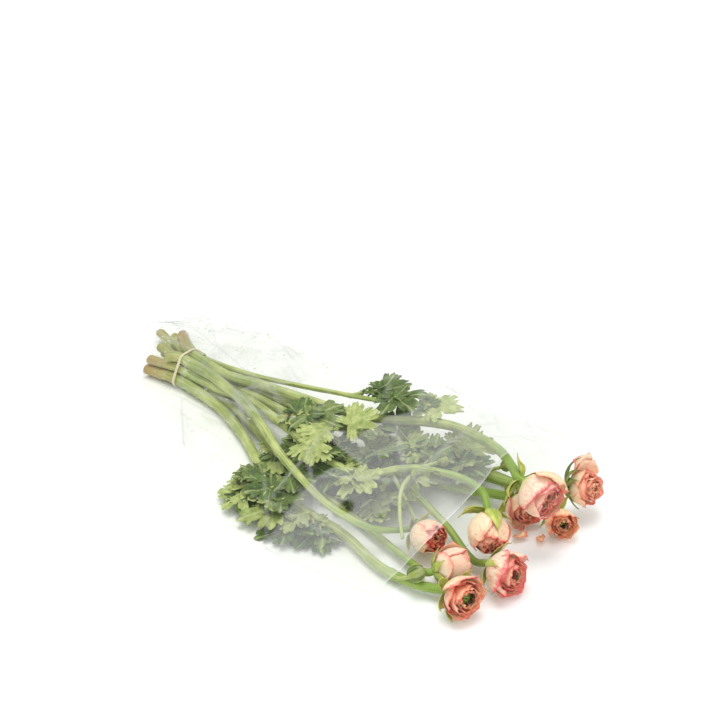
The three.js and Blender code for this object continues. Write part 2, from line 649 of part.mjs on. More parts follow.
// Height of the sleeve's upper sheet at each station and fraction across: a sheet stretched from edge to edge
// over all that lies in the sleeve. In turn it is drawn taut, each place towards the mean of its neighbours,
// and lifted off whatever it has sunk into.
function sheetHeights(contents) {
  const load = [];
  for (const p of contents) {
    const [station, across] = planPlace(p.x, p.y);
    const [x, y] = planPoint(station, across);
    if (Math.hypot(p.x - x, p.y - y) < 6) load.push({ need: p.z + SLEEVE.slack, corners: cornersAt(station, across) });
  }
  let heights = EDGES.map(() => new Array(SLEEVE.across + 1).fill(SLEEVE.edgeHeight));
  const at = (i, j) => heights[Math.min(Math.max(i, 0), EDGES.length - 1)][j];
  for (let round = 0; round < SLEEVE.rounds; round++) {
    heights = heights.map((row, i) =>
      row.map((z, j) => {
        if (j === 0 || j === SLEEVE.across) return lerp(z, SLEEVE.edgeHeight, 0.3);
        return lerp(z, (at(i - 1, j) + at(i + 1, j) + at(i, j - 1) + at(i, j + 1)) / 4, SLEEVE.taut);
      }));
    for (const { need, corners } of load) {
      const lack = need - corners.reduce((sum, [i, j, share]) => sum + share * heights[i][j], 0);
      const ease = ([, j, share]) => share * (j > 0 && j < SLEEVE.across ? 1 : 0.3);
      const whole = corners.reduce((sum, corner) => sum + corner[2] * ease(corner), 0);
      if (lack > 0) for (const corner of corners) heights[corner[0]][corner[1]] += (lack * ease(corner)) / whole;
    }
  }
  return heights;
}

// Sleeve: a flattened tube open at both ends, its outer and inner skins joined round each end.
function sleeveBody(contents) {
  const heights = sheetHeights(contents);
  const under = [1, 0.5, 0];
  const skin = (inset) =>
    EDGES.map((_, i) => {
      const fraction = (j) => j / SLEEVE.across;
      const top = heights[i].map((z, j) => vec(...planPoint(i, fraction(j)), z + SLEEVE.wall - inset));
      const bottom = under.map((f) => vec(...planPoint(i, f), inset));
      const loop = [...top, ...bottom];
      for (const [k, way] of [[0, 1], [SLEEVE.across, -1], [SLEEVE.across + 1, -1], [loop.length - 1, 1]])
        loop[k].y += way * inset;
      return loop;
    });
  const [outer, inner] = [skin(0), skin(SLEEVE.wall)];
  return tube([...inner, ...outer.reverse(), inner[0]], EDGES.length);
}

// ---- The whole ----------------------------------------------------------------------------------------------
const pieces = [];
for (const stem of stems) {
  const { plan } = stem;
  pieces.push({ name: plan.centre ? `${plan.name}_stem` : plan.name, solid: greenBody(stem), colour: GREEN });
  if (plan.centre) pieces.push({ name: `${plan.name}_petals`, solid: bloomPetals(plan), colour: PINK });
}
const contents = stems.flatMap(({ line, radii }) => line.map((p, i) => p.clone().setZ(p.z + radii[i])));
for (const { solid } of pieces) {
  const { vertProperties } = solid.getMesh();
  for (let i = 0; i < vertProperties.length; i += 3) contents.push(vec(...vertProperties.slice(i, i + 3)));
}
pieces.push({ name: "band", solid: bandBody(), colour: TAN });
pieces.push({
  name: "sleeve", solid: sleeveBody(contents), colour: FILM,
  look: { roughness: 0.15, transparent: true, opacity: 0.3 },
});

const bunch = new THREE.Group();
const room = new THREE.Box3();
for (const { name, solid, colour, look } of pieces) {
  const mesh = meshOf(name, solid, colour, look);
  room.expandByObject(mesh);
  bunch.add(mesh);
}
const middle = room.getCenter(vec(0, 0, 0));
for (const mesh of bunch.children) mesh.geometry.translate(-middle.x, -middle.y, -room.min.z);

export default bunch;
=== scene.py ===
# %% [markdown]
# # A bunch of ranunculus in a clear sleeve
# Nine cut blooms lie on a white table. Their long stems are held near the cut ends by an elastic band, and
# a clear tapered sleeve covers them as far as the flower heads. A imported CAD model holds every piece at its
# true size and place. This lesson dresses it: each piece made here stands for one CAD node and stays where
# it is.

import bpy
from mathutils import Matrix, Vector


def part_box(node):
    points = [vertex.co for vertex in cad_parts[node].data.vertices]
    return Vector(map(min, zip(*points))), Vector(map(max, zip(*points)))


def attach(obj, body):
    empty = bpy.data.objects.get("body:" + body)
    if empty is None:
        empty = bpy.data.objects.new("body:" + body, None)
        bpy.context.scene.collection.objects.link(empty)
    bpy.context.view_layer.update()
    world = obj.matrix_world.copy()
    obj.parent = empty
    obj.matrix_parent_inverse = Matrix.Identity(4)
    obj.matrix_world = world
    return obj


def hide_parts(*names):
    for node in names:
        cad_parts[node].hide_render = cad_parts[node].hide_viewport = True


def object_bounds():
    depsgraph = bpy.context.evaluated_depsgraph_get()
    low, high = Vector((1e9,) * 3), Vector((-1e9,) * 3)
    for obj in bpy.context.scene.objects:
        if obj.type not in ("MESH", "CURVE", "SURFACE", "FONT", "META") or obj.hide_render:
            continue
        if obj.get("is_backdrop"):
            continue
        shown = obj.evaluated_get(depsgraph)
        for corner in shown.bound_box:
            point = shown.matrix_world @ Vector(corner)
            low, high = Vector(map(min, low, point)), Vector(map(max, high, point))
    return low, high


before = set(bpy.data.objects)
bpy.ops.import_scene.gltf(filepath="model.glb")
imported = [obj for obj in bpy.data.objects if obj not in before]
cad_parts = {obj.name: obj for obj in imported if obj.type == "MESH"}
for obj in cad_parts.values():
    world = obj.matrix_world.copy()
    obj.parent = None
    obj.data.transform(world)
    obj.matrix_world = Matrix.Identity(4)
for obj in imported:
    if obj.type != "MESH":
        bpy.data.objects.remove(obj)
cad_low, cad_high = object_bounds()
print("model box in metres:", [round(x, 3) for x in cad_low], [round(x, 3) for x in cad_high])

# %% Tools
import math

import bmesh
import bpy
import numpy as np
from mathutils import Matrix

GOLDEN = math.radians(137.508)  # the turn from one petal or seed to the next on almost every flower
FULL = 2 * math.pi


def unit(vectors):
    """Vectors divided by their own lengths."""
    vectors = np.asarray(vectors, float)
    return vectors / np.linalg.norm(vectors, axis=-1, keepdims=True)


def ease(share):
    """0 below 0, 1 above 1 and a smooth S between: 3t squared less 2t cubed."""
    t = np.clip(share, 0, 1)
    return t * t * (3 - 2 * t)


def globe(rise, turn):
    """Points of a globe of radius 1 at height angles and turns."""
    return np.stack([np.cos(rise) * np.cos(turn), np.cos(rise) * np.sin(turn), np.sin(rise) + 0 * turn], -1)


def spun(ahead, beside, angle):
    """Two level coordinates after a turn about the upright axis."""
    cos, sin = math.cos(angle), math.sin(angle)
    return ahead * cos - beside * sin, ahead * sin + beside * cos


def cubic(a, b, c, d, t):
    """Catmull-Rom cubic from b at t = 0 to c at t = 1, where its slopes point from a to c and from b to d."""
    return 0.5 * (2 * b + (c - a) * t + (2 * a - 5 * b + 4 * c - d) * t**2 + (3 * b - 3 * c + d - a) * t**3)


def waves(points, length, seed, count=7):
    """Soft random field from -1 to 1: the mean of a few sine waves about `length` mm long, in seeded ways."""
    draw = np.random.default_rng(seed)
    ways = unit(draw.normal(size=(count, 3))) * FULL / (length * draw.uniform(0.7, 1.4, (count, 1)))
    return np.sin(points @ ways.T + draw.uniform(0, FULL, count)).sum(-1) / math.sqrt(2 * count)


# %% [markdown]
# ## The plan of the bunch
# Everything is laid out in millimetres on a plan: x runs from the cut ends to the blooms, y across, z up.
# Each bloom has a centre, a radius and an axis, the way it faces. Its stem follows a route of given points.
# The numbers are those of the CAD model, so that each fine piece lies in the plain solid that it stands for.

# %% Blooms and stem routes
FLOOR = 1.2  # what lies in the sleeve stays above this height
BAND = {"x": -228, "gap": 0.5, "thick": 1.3}  # where it is, how far from the stems, and its thickness
BLOOMS = {
    1: {"centre": (162.8, 12.7, 56), "axis": (0.93, 0.05, -0.35), "radius": 19.9, "stem": (4.8, 4.0),
        "route": [(-260, 29, 24), (-228, 10.4, 24.6), (-179, 8, 24), (-151, 16, 24), (-106, 21, 27),
                  (-61, 25, 31), (-23, 36, 34), (14, 53, 39), (49, 55, 46), (96, 42, 55), (126, 23, 61)]},
    2: {"centre": (165.6, 75.5, 30), "axis": (0.927, 0.36, 0.1), "radius": 17, "stem": (4.6, 4.2),
        "route": [(-272, 29, 16), (-228, 14.4, 16.4), (-164, 17, 15), (-92, 23, 15), (-14, 30, 15),
                  (41, 42, 15), (84, 51, 15), (113, 57, 17), (136, 65, 24)]},
    3: {"centre": (135.5, 32, 18.5), "axis": (0.937, -0.33, 0.11), "radius": 16.8, "stem": (4.4, 3.8),
        "route": [(-272, 15, 8), (-228, 9.4, 7.8), (-150, 12, 6.5), (-60, 10, 6.5), (20, 18, 6.5),
                  (70, 30, 8), (98, 38, 12)]},
    4: {"centre": (167, 39.5, 15.2), "axis": (0.8, -0.58, 0.1), "radius": 14.4, "stem": (4.2, 3.4),
        "route": [(-297, 36, 8), (-228, 19, 7.8), (-150, 27, 6.5), (-60, 40, 6.5), (20, 56, 6.5),
                  (80, 66, 6.5), (115, 67, 7.5), (141, 59, 10.5)]},
    5: {"centre": (143, -27, 32), "axis": (0.609, -0.609, -0.508), "radius": 18.5, "stem": (4.4, 3.1),
        "route": [(-262, -11, 16.4), (-228, -4.5, 16.4), (-180, -4, 17), (-140, -3, 19), (-82, -17, 23),
                  (-33, -32, 27), (5, -36, 30), (26, -25, 34), (44, -9, 38), (74, 3, 41), (99, 3, 44),
                  (118, -4, 46)]},
    6: {"centre": (177.5, -45, 20.5), "axis": (0.98, -0.02, 0.12), "radius": 19.4, "stem": (4.4, 2.9),
        "route": [(-270, 10, 16.4), (-228, 5, 16.4), (-159, 9, 15), (-78, 8, 15), (-23, 1, 15),
                  (45, -8, 15), (94, -22, 13), (125, -36, 10.5), (142, -43, 12)]},
    7: {"centre": (170.8, -92.5, 21.8), "axis": (0.865, -0.378, 0.324), "radius": 18.9, "stem": (4.8, 3.8),
        "flare": 0.5,
        "route": [(-264, -14, 6.5), (-228, -9.5, 7.8), (-175, -14, 6.5), (-127, -31, 6.5), (-87, -52, 6.5),
                  (-28, -76, 6.5), (33, -80, 6.5), (81, -92, 6.5), (115, -93, 8), (137, -88, 10)]},
    8: {"centre": (137.8, -64.2, 19.6), "axis": (0.58, 0.77, 0.2), "radius": 17, "stem": (4.2, 3.0),
        "flare": 0.2,
        "route": [(-270, -3, 7), (-228, 0, 7.8), (-171, -5, 6.5), (-100, -26, 6.5), (-40, -46, 6.5),
                  (30, -58, 6.5), (75, -68, 7.5), (105, -75, 9), (119, -80, 12)]},
    9: {"centre": (99.7, -50, 20.5), "axis": (0.97, -0.11, 0.216), "radius": 15.8, "stem": (5.2, 2.4),
        "route": [(-243, -9, 25), (-228, 0.2, 24.6), (-171, -6, 24), (-129, -18, 25), (-94, -35, 26),
                  (-53, -56, 28), (7, -77, 28), (40, -80, 26), (60, -74, 22), (72, -60, 18)]},
}
SHOOT = 10  # the side shoot has leaves and no bloom
BLOOMS[SHOOT] = {"stem": (2.7, 1.8), "route": [(-258, 33, 17), (-228, 23, 16.2), (-171, 27, 20),
                 (-129, 37, 23), (-90, 45, 28), (-51, 52, 34), (-23, 59, 39), (1, 63, 42)]}
NODE = {number: f"flower_{number}_stem" for number in BLOOMS} | {SHOOT: "side_shoot"}

# %% [markdown]
# Leaves grow from a stem at some x, with the middle of the blade at a place of its own. Buds are given in the
# same way. The sleeve is given by its two side edges, from the stem end to the mouth, front and back.

# %% Leaves, buds and sleeve edges
LEAVES = {
    7: [(-92, (-56, -98, 5), 27), (-80, (-62, -80, 9), 35), (-52, (-26, -99, 7), 36),
        (-24, (-4, -107, 4), 30), (-4, (22, -97, 5), 27)],
    8: [(-96, (-66, -50, 12), 26), (-10, (36, -34, 9), 31)],
    5: [(-104, (-62, -1, 36), 33), (-8, (24, -48, 34), 26)],
    6: [(-84, (-56, -28, 21), 31), (-60, (-16, -18, 20), 33), (-12, (4, 12, 22), 31), (6, (38, 6, 21), 31)],
    2: [(0, (24, 30, 27), 31), (16, (52, 66, 22), 33), (40, (72, 38, 24), 27)],
    SHOOT: [(-70, (-46, 76, 34), 28), (-30, (-14, 50, 48), 31), (-1, (16, 66, 47), 28)],
}
BUDS = {
    7: [(98, (122.5, -93, 20.5), 7.4, (0.6, 0.4, 0.6))],
    2: [(72, (92, 62, 25), 4.6, (0.8, 0.3, 0.5))],
    5: [(50, (67, 8, 48), 4.8, (0.7, 0.2, 0.6)), (34, (72, -31, 7), 3.6, (0.6, -0.3, -0.5))],
}
EDGES = np.array([  # front x and y, back x and y, and how far the middle reaches beyond the line between them
    (-257, -30, -317, 54, 0), (-222, -40, -289, 92, 0), (-182, -60, -237, 111, 0), (-139, -83, -177, 121, 0),
    (-110, -98, -126, 124, 0), (-83, -112, -78, 126, 0), (-54, -128, -38, 132, 0), (-26, -133, -2, 141, 0),
    (2, -132, 28, 149, 1), (29, -129, 52, 156, 4), (55, -126, 71, 160, 9), (80, -123, 85, 162, 14),
    (101, -120, 97, 163, 18),
], float)
sleeve_low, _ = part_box("sleeve")
SHIFT = np.array([sleeve_low.x * 1000 - EDGES[:, 2].min(), sleeve_low.y * 1000 - EDGES[:, 1].min(), 0])
print("plan to row frame, mm:", SHIFT.round(2))

# %% [markdown]
# ## Camera, light and table
# The photograph looks down at 33 degrees with a long lens, from the side of the blooms. The table is so
# bright that it is almost the white of the paper, and a wide, soft light from almost overhead leaves a
# faint shadow round each piece. A uniform white world would do alone, but nothing would tell how round the
# blooms are.

# %% Camera
AIM = np.array([-132.7, 133.19, 0.0])
DISTANCE = 1860
PITCH, TURN = math.radians(33), math.radians(41)
right = np.array([math.cos(TURN), math.sin(TURN), 0])
away = np.array([-math.sin(TURN), math.cos(TURN), 0])
forward = away * math.cos(PITCH) - np.array([0, 0, math.sin(PITCH)])
upward = np.cross(right, forward)
camera = bpy.data.objects.new("camera", bpy.data.cameras.new("camera"))
bpy.context.scene.collection.objects.link(camera)
place = (AIM + SHIFT - forward * DISTANCE) / 1000
rows = [[*row, shift] for row, shift in zip(np.stack([right, upward, -forward], 1), place)]
camera.matrix_world = Matrix([*rows, [0, 0, 0, 1]])
camera.data.lens, camera.data.sensor_width = 100, 36
camera.data.clip_start, camera.data.clip_end = 0.05, 20
bpy.context.scene.camera = camera
print("camera at", place.round(3))


# %% Nodes and colours
def linear(hex_colour):
    """sRGB hex to linear: (c + 0.055) / 1.055 to the power 2.4, or c / 12.92 where it is dark."""
    channels = [int(hex_colour[i:i + 2], 16) / 255 for i in (1, 3, 5)]
    return (*[c / 12.92 if c <= 0.04045 else ((c + 0.055) / 1.055) ** 2.4 for c in channels], 1)


def add(tree, kind, sockets=None, **settings):
    """Adds a node with its settings. A socket gets a link where its value is an output, or a node, which
    stands for its first output in use, and otherwise it gets the value itself."""
    node = tree.nodes.new(kind)
    for name, value in settings.items():
        setattr(node, name, value)
    for name, value in (sockets or {}).items():
        if isinstance(value, bpy.types.Node):
            value = next(output for output in value.outputs if output.enabled)
        if isinstance(value, bpy.types.NodeSocket):
            tree.links.new(value, node.inputs[name])
        else:
            node.inputs[name].default_value = value
    return node


def start_material(name):
    """An empty material and its node tree."""
    material = bpy.data.materials.new(name)
    material.use_nodes = True
    material.node_tree.nodes.clear()
    return material, material.node_tree


# %% Light and table
MIX_COLOUR = {"data_type": "RGBA", "clamp_factor": True}  # socket 0 is the factor, 6 and 7 are the colours
world = bpy.data.worlds.new("studio")
bpy.context.scene.world = world
world.use_nodes = True
tree = world.node_tree
# The room is a soft box overhead that dims towards the horizon, so that glossy film has something to reflect.
direction = add(tree, "ShaderNodeTexCoord").outputs["Generated"]
height = add(tree, "ShaderNodeSeparateXYZ", {"Vector": direction}).outputs["Z"]
glow = add(tree, "ShaderNodeMapRange", {"Value": height, "To Min": 0.22, "To Max": 0.90})
# A second, lower box on the camera's side lights the mouths of the blooms.
FRONT_BOX = unit(-away + np.array([0, 0, 0.35]))
facing = add(tree, "ShaderNodeVectorMath", {0: direction, 1: tuple(FRONT_BOX)}, operation="DOT_PRODUCT")
front = add(tree, "ShaderNodeMapRange", {"Value": facing, "From Min": 0.2, "To Max": 0.84})
both = add(tree, "ShaderNodeMath", {0: glow, 1: front}, operation="ADD")
background = tree.nodes["Background"]
background.inputs["Color"].default_value = (1, 1, 1, 1)
tree.links.new(both.outputs[0], background.inputs["Strength"])
bpy.context.scene.view_settings.view_transform = "Standard"
SUN_FROM = right * -0.06 + away * 0.16 + np.array([0, 0, 1.0])  # almost overhead, a little behind the bunch
lamp = bpy.data.lights.new("key", "SUN")
lamp.energy, lamp.angle = 1.4, math.radians(36)  # so wide a sun is as soft as a large box close above
sun = bpy.data.objects.new("key", lamp)
bpy.context.scene.collection.objects.link(sun)
sun.location = SUN_FROM
sun.rotation_euler = (-sun.location).to_track_quat("-Z", "Y").to_euler()

floor_material, tree = start_material("table, white laminate, satin pressed")
# Pressed laminate is even and nearly matt. Only a faint cloudiness keeps it from being a flat colour.
coordinates = add(tree, "ShaderNodeTexCoord")
cloud = add(tree, "ShaderNodeTexNoise", {"Vector": coordinates.outputs["Object"], "Scale": 6, "Detail": 3})
shade = add(tree, "ShaderNodeMix", {0: cloud, 6: linear("#f8fbfb"), 7: linear("#fafdfd")}, **MIX_COLOUR)
surface = add(tree, "ShaderNodeBsdfPrincipled", {"Base Color": shade, "Roughness": 0.55})
add(tree, "ShaderNodeOutputMaterial", {"Surface": surface})
table = bpy.data.meshes.new("table")
HALF_TABLE = 8
corners = [(-HALF_TABLE, -HALF_TABLE, 0), (HALF_TABLE, -HALF_TABLE, 0),
           (HALF_TABLE, HALF_TABLE, 0), (-HALF_TABLE, HALF_TABLE, 0)]
table.from_pydata(corners, [], [(0, 1, 2, 3)])
table.materials.append(floor_material)
floor = bpy.data.objects.new("table", table)
bpy.context.scene.collection.objects.link(floor)
floor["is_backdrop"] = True
print("table and key lamp")


# %% [markdown]
# ## From grids of points to pieces
# Petals, leaves, stems and film are all sheets or tubes, and a grid of points is the plainest way to write
# either: two parameters run along its rows and columns, and a formula gives the place of every point at once.
# Besides its place, each point carries values for the materials, such as how far it is from the petal's rim.

# %% Grids and pieces
def grid_part(points, closed=False, **values):
    """Grid of points as a part of a mesh: four neighbours make a face, and a closed grid's last column is
    joined to its first. A value may be a number, a row, a column or a full grid."""
    rows, columns = points.shape[:2]
    number = np.arange(rows * columns).reshape(rows, columns)
    if closed:
        number = np.hstack([number, number[:, :1]])
    corners = [number[:-1, :-1], number[:-1, 1:], number[1:, 1:], number[1:, :-1]]
    faces = np.stack(corners, -1).reshape(-1, 4)
    flat = {}
    for name, value in values.items():
        value = np.asarray(value, float)
        tail = value.shape[2:] if value.ndim == 3 else ()
        flat[name] = np.broadcast_to(value, (rows, columns) + tail).reshape((rows * columns,) + tail)
    return {"points": points.reshape(-1, 3), "faces": faces, "values": flat}


def make_piece(name, parts, material, nodes, thickness=0.0):
    """One object from parts in plan millimetres. Points that coincide are welded, which closes seams and
    poles, faces are turned outwards, and a thin sheet gets its thickness, in mm, from a Solidify modifier."""
    starts = np.cumsum([0] + [len(part["points"]) for part in parts[:-1]])
    points = (np.vstack([part["points"] for part in parts]) + SHIFT) / 1000
    faces = np.vstack([part["faces"] + start for part, start in zip(parts, starts)])
    mesh = bpy.data.meshes.new(name)
    mesh.vertices.add(len(points))
    mesh.vertices.foreach_set("co", points.astype(np.float32).ravel())
    mesh.loops.add(faces.size)
    mesh.loops.foreach_set("vertex_index", faces.astype(np.int32).ravel())
    mesh.polygons.add(len(faces))
    mesh.polygons.foreach_set("loop_start", np.arange(0, faces.size, 4, dtype=np.int32))
    for value in parts[0]["values"]:
        data = np.concatenate([part["values"][value] for part in parts]).astype(np.float32)
        kind, field = ("FLOAT_VECTOR", "vector") if data.ndim == 2 else ("FLOAT", "value")
        mesh.attributes.new(value, kind, "POINT").data.foreach_set(field, data.ravel())
    mesh.update(calc_edges=True)
    shape = bmesh.new()
    shape.from_mesh(mesh)
    bmesh.ops.remove_doubles(shape, verts=shape.verts, dist=1e-6)
    bmesh.ops.recalc_face_normals(shape, faces=shape.faces)
    shape.to_mesh(mesh)
    shape.free()
    mesh.shade_smooth()
    mesh.materials.append(material)
    piece = bpy.data.objects.new(name, mesh)
    bpy.context.scene.collection.objects.link(piece)
    if thickness:
        solid = piece.modifiers.new("thickness", "SOLIDIFY")
        solid.thickness, solid.offset = thickness / 1000, 0
    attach(piece, "root")
    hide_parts(*nodes)


# %% [markdown]
# ## Settling the stems
# Ten stems are pinched together at the band, where they press on one another, and lie across each other
# further on. The routes alone would run through each other. As in the CAD model, each round finds the places
# where two stems overlap and pushes both apart by half, until they only touch. A physics simulation could do
# this too, but the rule is short and always ends in the same place.

# %% Curves
def curve_through(points, step):
    """Catmull-Rom curve: a cubic between each two points, with a sample about each `step` millimetres.
    Columns past the third, such as a radius, are carried along."""
    points = np.asarray(points, float)
    padded = np.vstack([points[:1], points, points[-1:]])
    spans = []
    for a, b, c, d in zip(padded[:-3], padded[1:-2], padded[2:-1], padded[3:]):
        count = max(1, math.floor(np.linalg.norm((c - b)[:3]) / step + 0.5))
        spans.append(cubic(a, b, c, d, np.arange(count)[:, None] / count))
    return np.vstack([*spans, points[-1:]])


# %% Stems
STEM_GAP = 0.5  # mm between two stems
BLOOM_GAP = 1.5  # and from a stem to another stem's bloom
BAND_ROOM = BAND["gap"] + BAND["thick"] + 0.35
BAND_REACH = 14  # how far along the stems the band lifts them off the table
PINNED = 6  # samples at a stem's end that stay with the bloom
stems = {}
for number, bloom in BLOOMS.items():
    route = [np.array(point, float) for point in bloom["route"]]
    if "centre" in bloom:
        base = np.array(bloom["centre"]) - unit(bloom["axis"]) * (bloom["radius"] + 0.6)
        route += [base - 4 * unit(bloom["axis"]), base]
    line = curve_through(route, 5)
    radii = np.linspace(*bloom["stem"], len(line))
    stems[number] = {"line": line, "radii": radii, "free": len(line) - (PINNED if "centre" in bloom else 0)}


def push_apart(a, b, push_a, push_b):
    """Each sample of a and the nearest of b part by half of what their radii and the gap overlap."""
    apart = np.linalg.norm(a["line"][:, None] - b["line"], axis=-1)
    near = apart.argmin(1)
    overlap = a["radii"] + b["radii"][near] + STEM_GAP - apart.min(1)
    hit = np.flatnonzero(overlap > 0)
    way = unit(a["line"][hit] - b["line"][near[hit]]) * overlap[hit, None] / 2
    np.add.at(push_a, hit, way)
    np.subtract.at(push_b, near[hit], way)


def push_from_blooms(number, push):
    """A stem's samples leave the other blooms by what they have sunk into them."""
    stem = stems[number]
    for other, bloom in BLOOMS.items():
        if "centre" in bloom and other != number:
            off = stem["line"] - np.array(bloom["centre"])
            overlap = bloom["radius"] + stem["radii"] + BLOOM_GAP - np.linalg.norm(off, axis=1)
            push += unit(off) * np.maximum(overlap, 0)[:, None]


def smoothed(rows):
    """Half of each row and a quarter of each neighbour."""
    padded = np.vstack([rows[:1], rows, rows[-1:]])
    return rows / 2 + (padded[:-2] + padded[2:]) / 4


def settle(rounds):
    """Rounds of pushing, each push eased off towards the pinned end, with the table as the lowest place."""
    for _ in range(rounds):
        pushes = {number: np.zeros_like(stem["line"]) for number, stem in stems.items()}
        for number, stem in stems.items():
            for other in stems:
                if other > number:
                    push_apart(stem, stems[other], pushes[number], pushes[other])
            push_from_blooms(number, pushes[number])
        for number, stem in stems.items():
            free, line = stem["free"], stem["line"]
            ease_off = np.minimum(1, (free - np.arange(free)) / PINNED)[:, None]
            line[:free] += smoothed(smoothed(pushes[number]))[:free] * ease_off
            room = np.where(np.abs(line[:free, 0] - BAND["x"]) < BAND_REACH, BAND_ROOM, 0)
            line[:free, 2] = np.maximum(line[:free, 2], FLOOR + room + stem["radii"][:free])


settle(rounds=160)
for number, stem in stems.items():
    pieces = np.linalg.norm(np.diff(stem["line"], axis=0), axis=1)
    print("stem", number, "is", round(float(pieces.sum())), "mm long")

# %% [markdown]
# ## Stems
# A ranunculus stem is a juicy hollow tube with soft lengthwise ribs, a little swollen where a leaf joins it,
# and cut on the slant. It could be a curve with a bevel, but ribs, joints and the hollow end all change the
# section along the way, so the rings are worked out one by one along the settled line.

# %% Tubes
# In parts of a bloom's radius: the stem's own radius where it enters the bloom and at its end inside, and the
# height at which it ends, measured from the bloom's middle.
NECK, COLUMN, HEART_FLOOR = 0.235, 0.21, -0.29
JOINT_SWELL, JOINT_REACH = 0.16, 3.5  # a joint is this much thicker, for so many mm either way


def tube_part(line, radii, sides, seed=0, ribs=0.0, slant=0.0, hollow=0.0, tone=0.5, lively=0.0):
    """Rings of points across a line: centre + radius x (cos turn x side + sin turn x up), the radius waved by
    the ribs. A hollow end folds inwards, and every tube ends in a point that welds shut. Lively says how far
    the colour changes towards the tube's end: above 0 to a fresh green, below 0 to straw."""
    along = unit(np.gradient(line, axis=0))
    side = unit(np.cross([0, 0, 1.0], along))
    up = np.cross(along, side)
    length = np.concatenate([[0], np.cumsum(np.linalg.norm(np.diff(line, axis=0), axis=1))])
    last = len(line) - 1
    inside = int(np.argmin(np.abs(length - hollow)))
    order = np.concatenate([[inside, inside, 0, 0], np.arange(last + 1), [last]])
    scale = np.concatenate([[0, 0.5, 0.55, 0.9] if hollow else [0, 0, 0, 0], np.ones(last + 1), [0]])
    turn = np.linspace(0, FULL, sides, endpoint=False)
    around = turn + 0.6 * np.sin(length[order] / 70 + seed)[:, None]
    wave = 1 + ribs * (0.6 * np.cos(7 * around + seed) + 0.4 * np.cos(11 * around + 2 * seed))
    across = (radii[order] * scale)[:, None] * wave
    y, z = across * np.cos(turn), across * np.sin(turn)
    lean = slant * y * np.exp(-length[order] / 6)[:, None]
    points = (line[order][:, None] + y[..., None] * side[order][:, None] + z[..., None] * up[order][:, None]
              + lean[..., None] * along[order][:, None])
    skin = np.stack([y, z, np.broadcast_to(length[order][:, None], y.shape)], -1)
    inner = np.concatenate([[1, 1, 1, 0.6] if hollow else [0, 0, 0, 0], np.zeros(last + 2)])[:, None]
    share = (length[order] / length[-1])[:, None]
    return grid_part(points, closed=True, skin=skin, inner=inner, share=share, tone=tone,
                     vivid=lively * share)


def stem_at(number, x):
    """The point of a stem's settled line that is nearest to an x."""
    line = stems[number]["line"]
    return line[np.abs(line[:, 0] - x).argmin()]


def stem_part(number):
    """Fine stem: the settled line at 2 mm steps, swollen at its joints, then the column inside the bloom."""
    stem, bloom = stems[number], BLOOMS[number]
    rows = np.column_stack([stem["line"], stem["radii"]])
    fine = curve_through(rows, 2)
    for joint, *_ in LEAVES.get(number, []) + BUDS.get(number, []):
        fine[:, 3] *= 1 + JOINT_SWELL * np.exp(-(((fine[:, 0] - joint) / JOINT_REACH) ** 2))
    fine[:, 3] *= 1 + 0.05 * waves(fine[:, :3], 60, 40 + number)
    if "centre" in bloom:
        radius, axis = bloom["radius"], unit(bloom["axis"])
        column = [(-0.93, NECK), (-0.85, COLUMN), (-0.5, COLUMN), (HEART_FLOOR, COLUMN)]
        ends = [[*(np.array(bloom["centre"]) + axis * z * radius), r * radius] for z, r in column]
        fine = np.vstack([fine, ends])
    draw = np.random.default_rng(number)
    return tube_part(fine[:, :3], fine[:, 3], 26, seed=number, ribs=0.045, slant=draw.uniform(-0.5, 0.5),
                     hollow=7, tone=draw.uniform(), lively=1.0)


# %% [markdown]
# The stem's skin is fresh green tissue: fibres run along it, light and dark by turns, the cut end has dried
# to a pale brown, and the pith inside is olive. The green is fuller near the bloom, and a leaf's stalk can
# have turned to straw. A noise stretched along the stem gives the fibres. It is read from the "skin" value,
# the ring's own coordinates, so that it follows every bend.

# %% Stem material
stem_skin, tree = start_material("stem, living green tissue, ribbed and fine-haired")
skin = add(tree, "ShaderNodeAttribute", attribute_name="skin").outputs["Vector"]
share, inner, tone, vivid = (add(tree, "ShaderNodeAttribute", attribute_name=name).outputs["Fac"]
                             for name in ("share", "inner", "tone", "vivid"))
fibre_map = add(tree, "ShaderNodeMapping", {"Vector": skin, "Scale": (0.9, 0.9, 0.03)})  # about 1 mm wide
fibre = add(tree, "ShaderNodeTexNoise", {"Vector": fibre_map, "Scale": 1.0, "Detail": 3})
patch = add(tree, "ShaderNodeTexNoise", {"Vector": skin, "Scale": 0.045, "Detail": 2, "Roughness": 0.6})
light = add(tree, "ShaderNodeMapRange", {"Value": fibre, "From Min": 0.36, "From Max": 0.66})
green = add(tree, "ShaderNodeMix", {0: light, 6: linear("#84974a"), 7: linear("#c0cb80")}, **MIX_COLOUR)
pale = add(tree, "ShaderNodeMapRange", {"Value": patch, "From Min": 0.46, "From Max": 0.86})
yellow = add(tree, "ShaderNodeMix", {0: pale, 6: green, 7: linear("#d0d88e")}, **MIX_COLOUR)
lively = add(tree, "ShaderNodeMapRange", {"Value": vivid, "From Min": 0.72, "From Max": 0.92, "To Max": 0.72})
fresh = add(tree, "ShaderNodeMix", {0: lively, 6: yellow, 7: linear("#759a28")}, **MIX_COLOUR)
faded = add(tree, "ShaderNodeMapRange", {"Value": vivid, "From Min": 0.0, "From Max": -0.8, "To Max": 0.75})
straw = add(tree, "ShaderNodeMix", {0: faded, 6: fresh, 7: linear("#d3c96c")}, **MIX_COLOUR)
near_cut = add(tree, "ShaderNodeMapRange", {"Value": share, "From Min": 0.10, "From Max": 0.0})
dried = add(tree, "ShaderNodeMath", {0: near_cut, 1: tone}, operation="MULTIPLY")
brown = add(tree, "ShaderNodeMix", {0: dried, 6: straw, 7: linear("#ab8a58")}, **MIX_COLOUR)
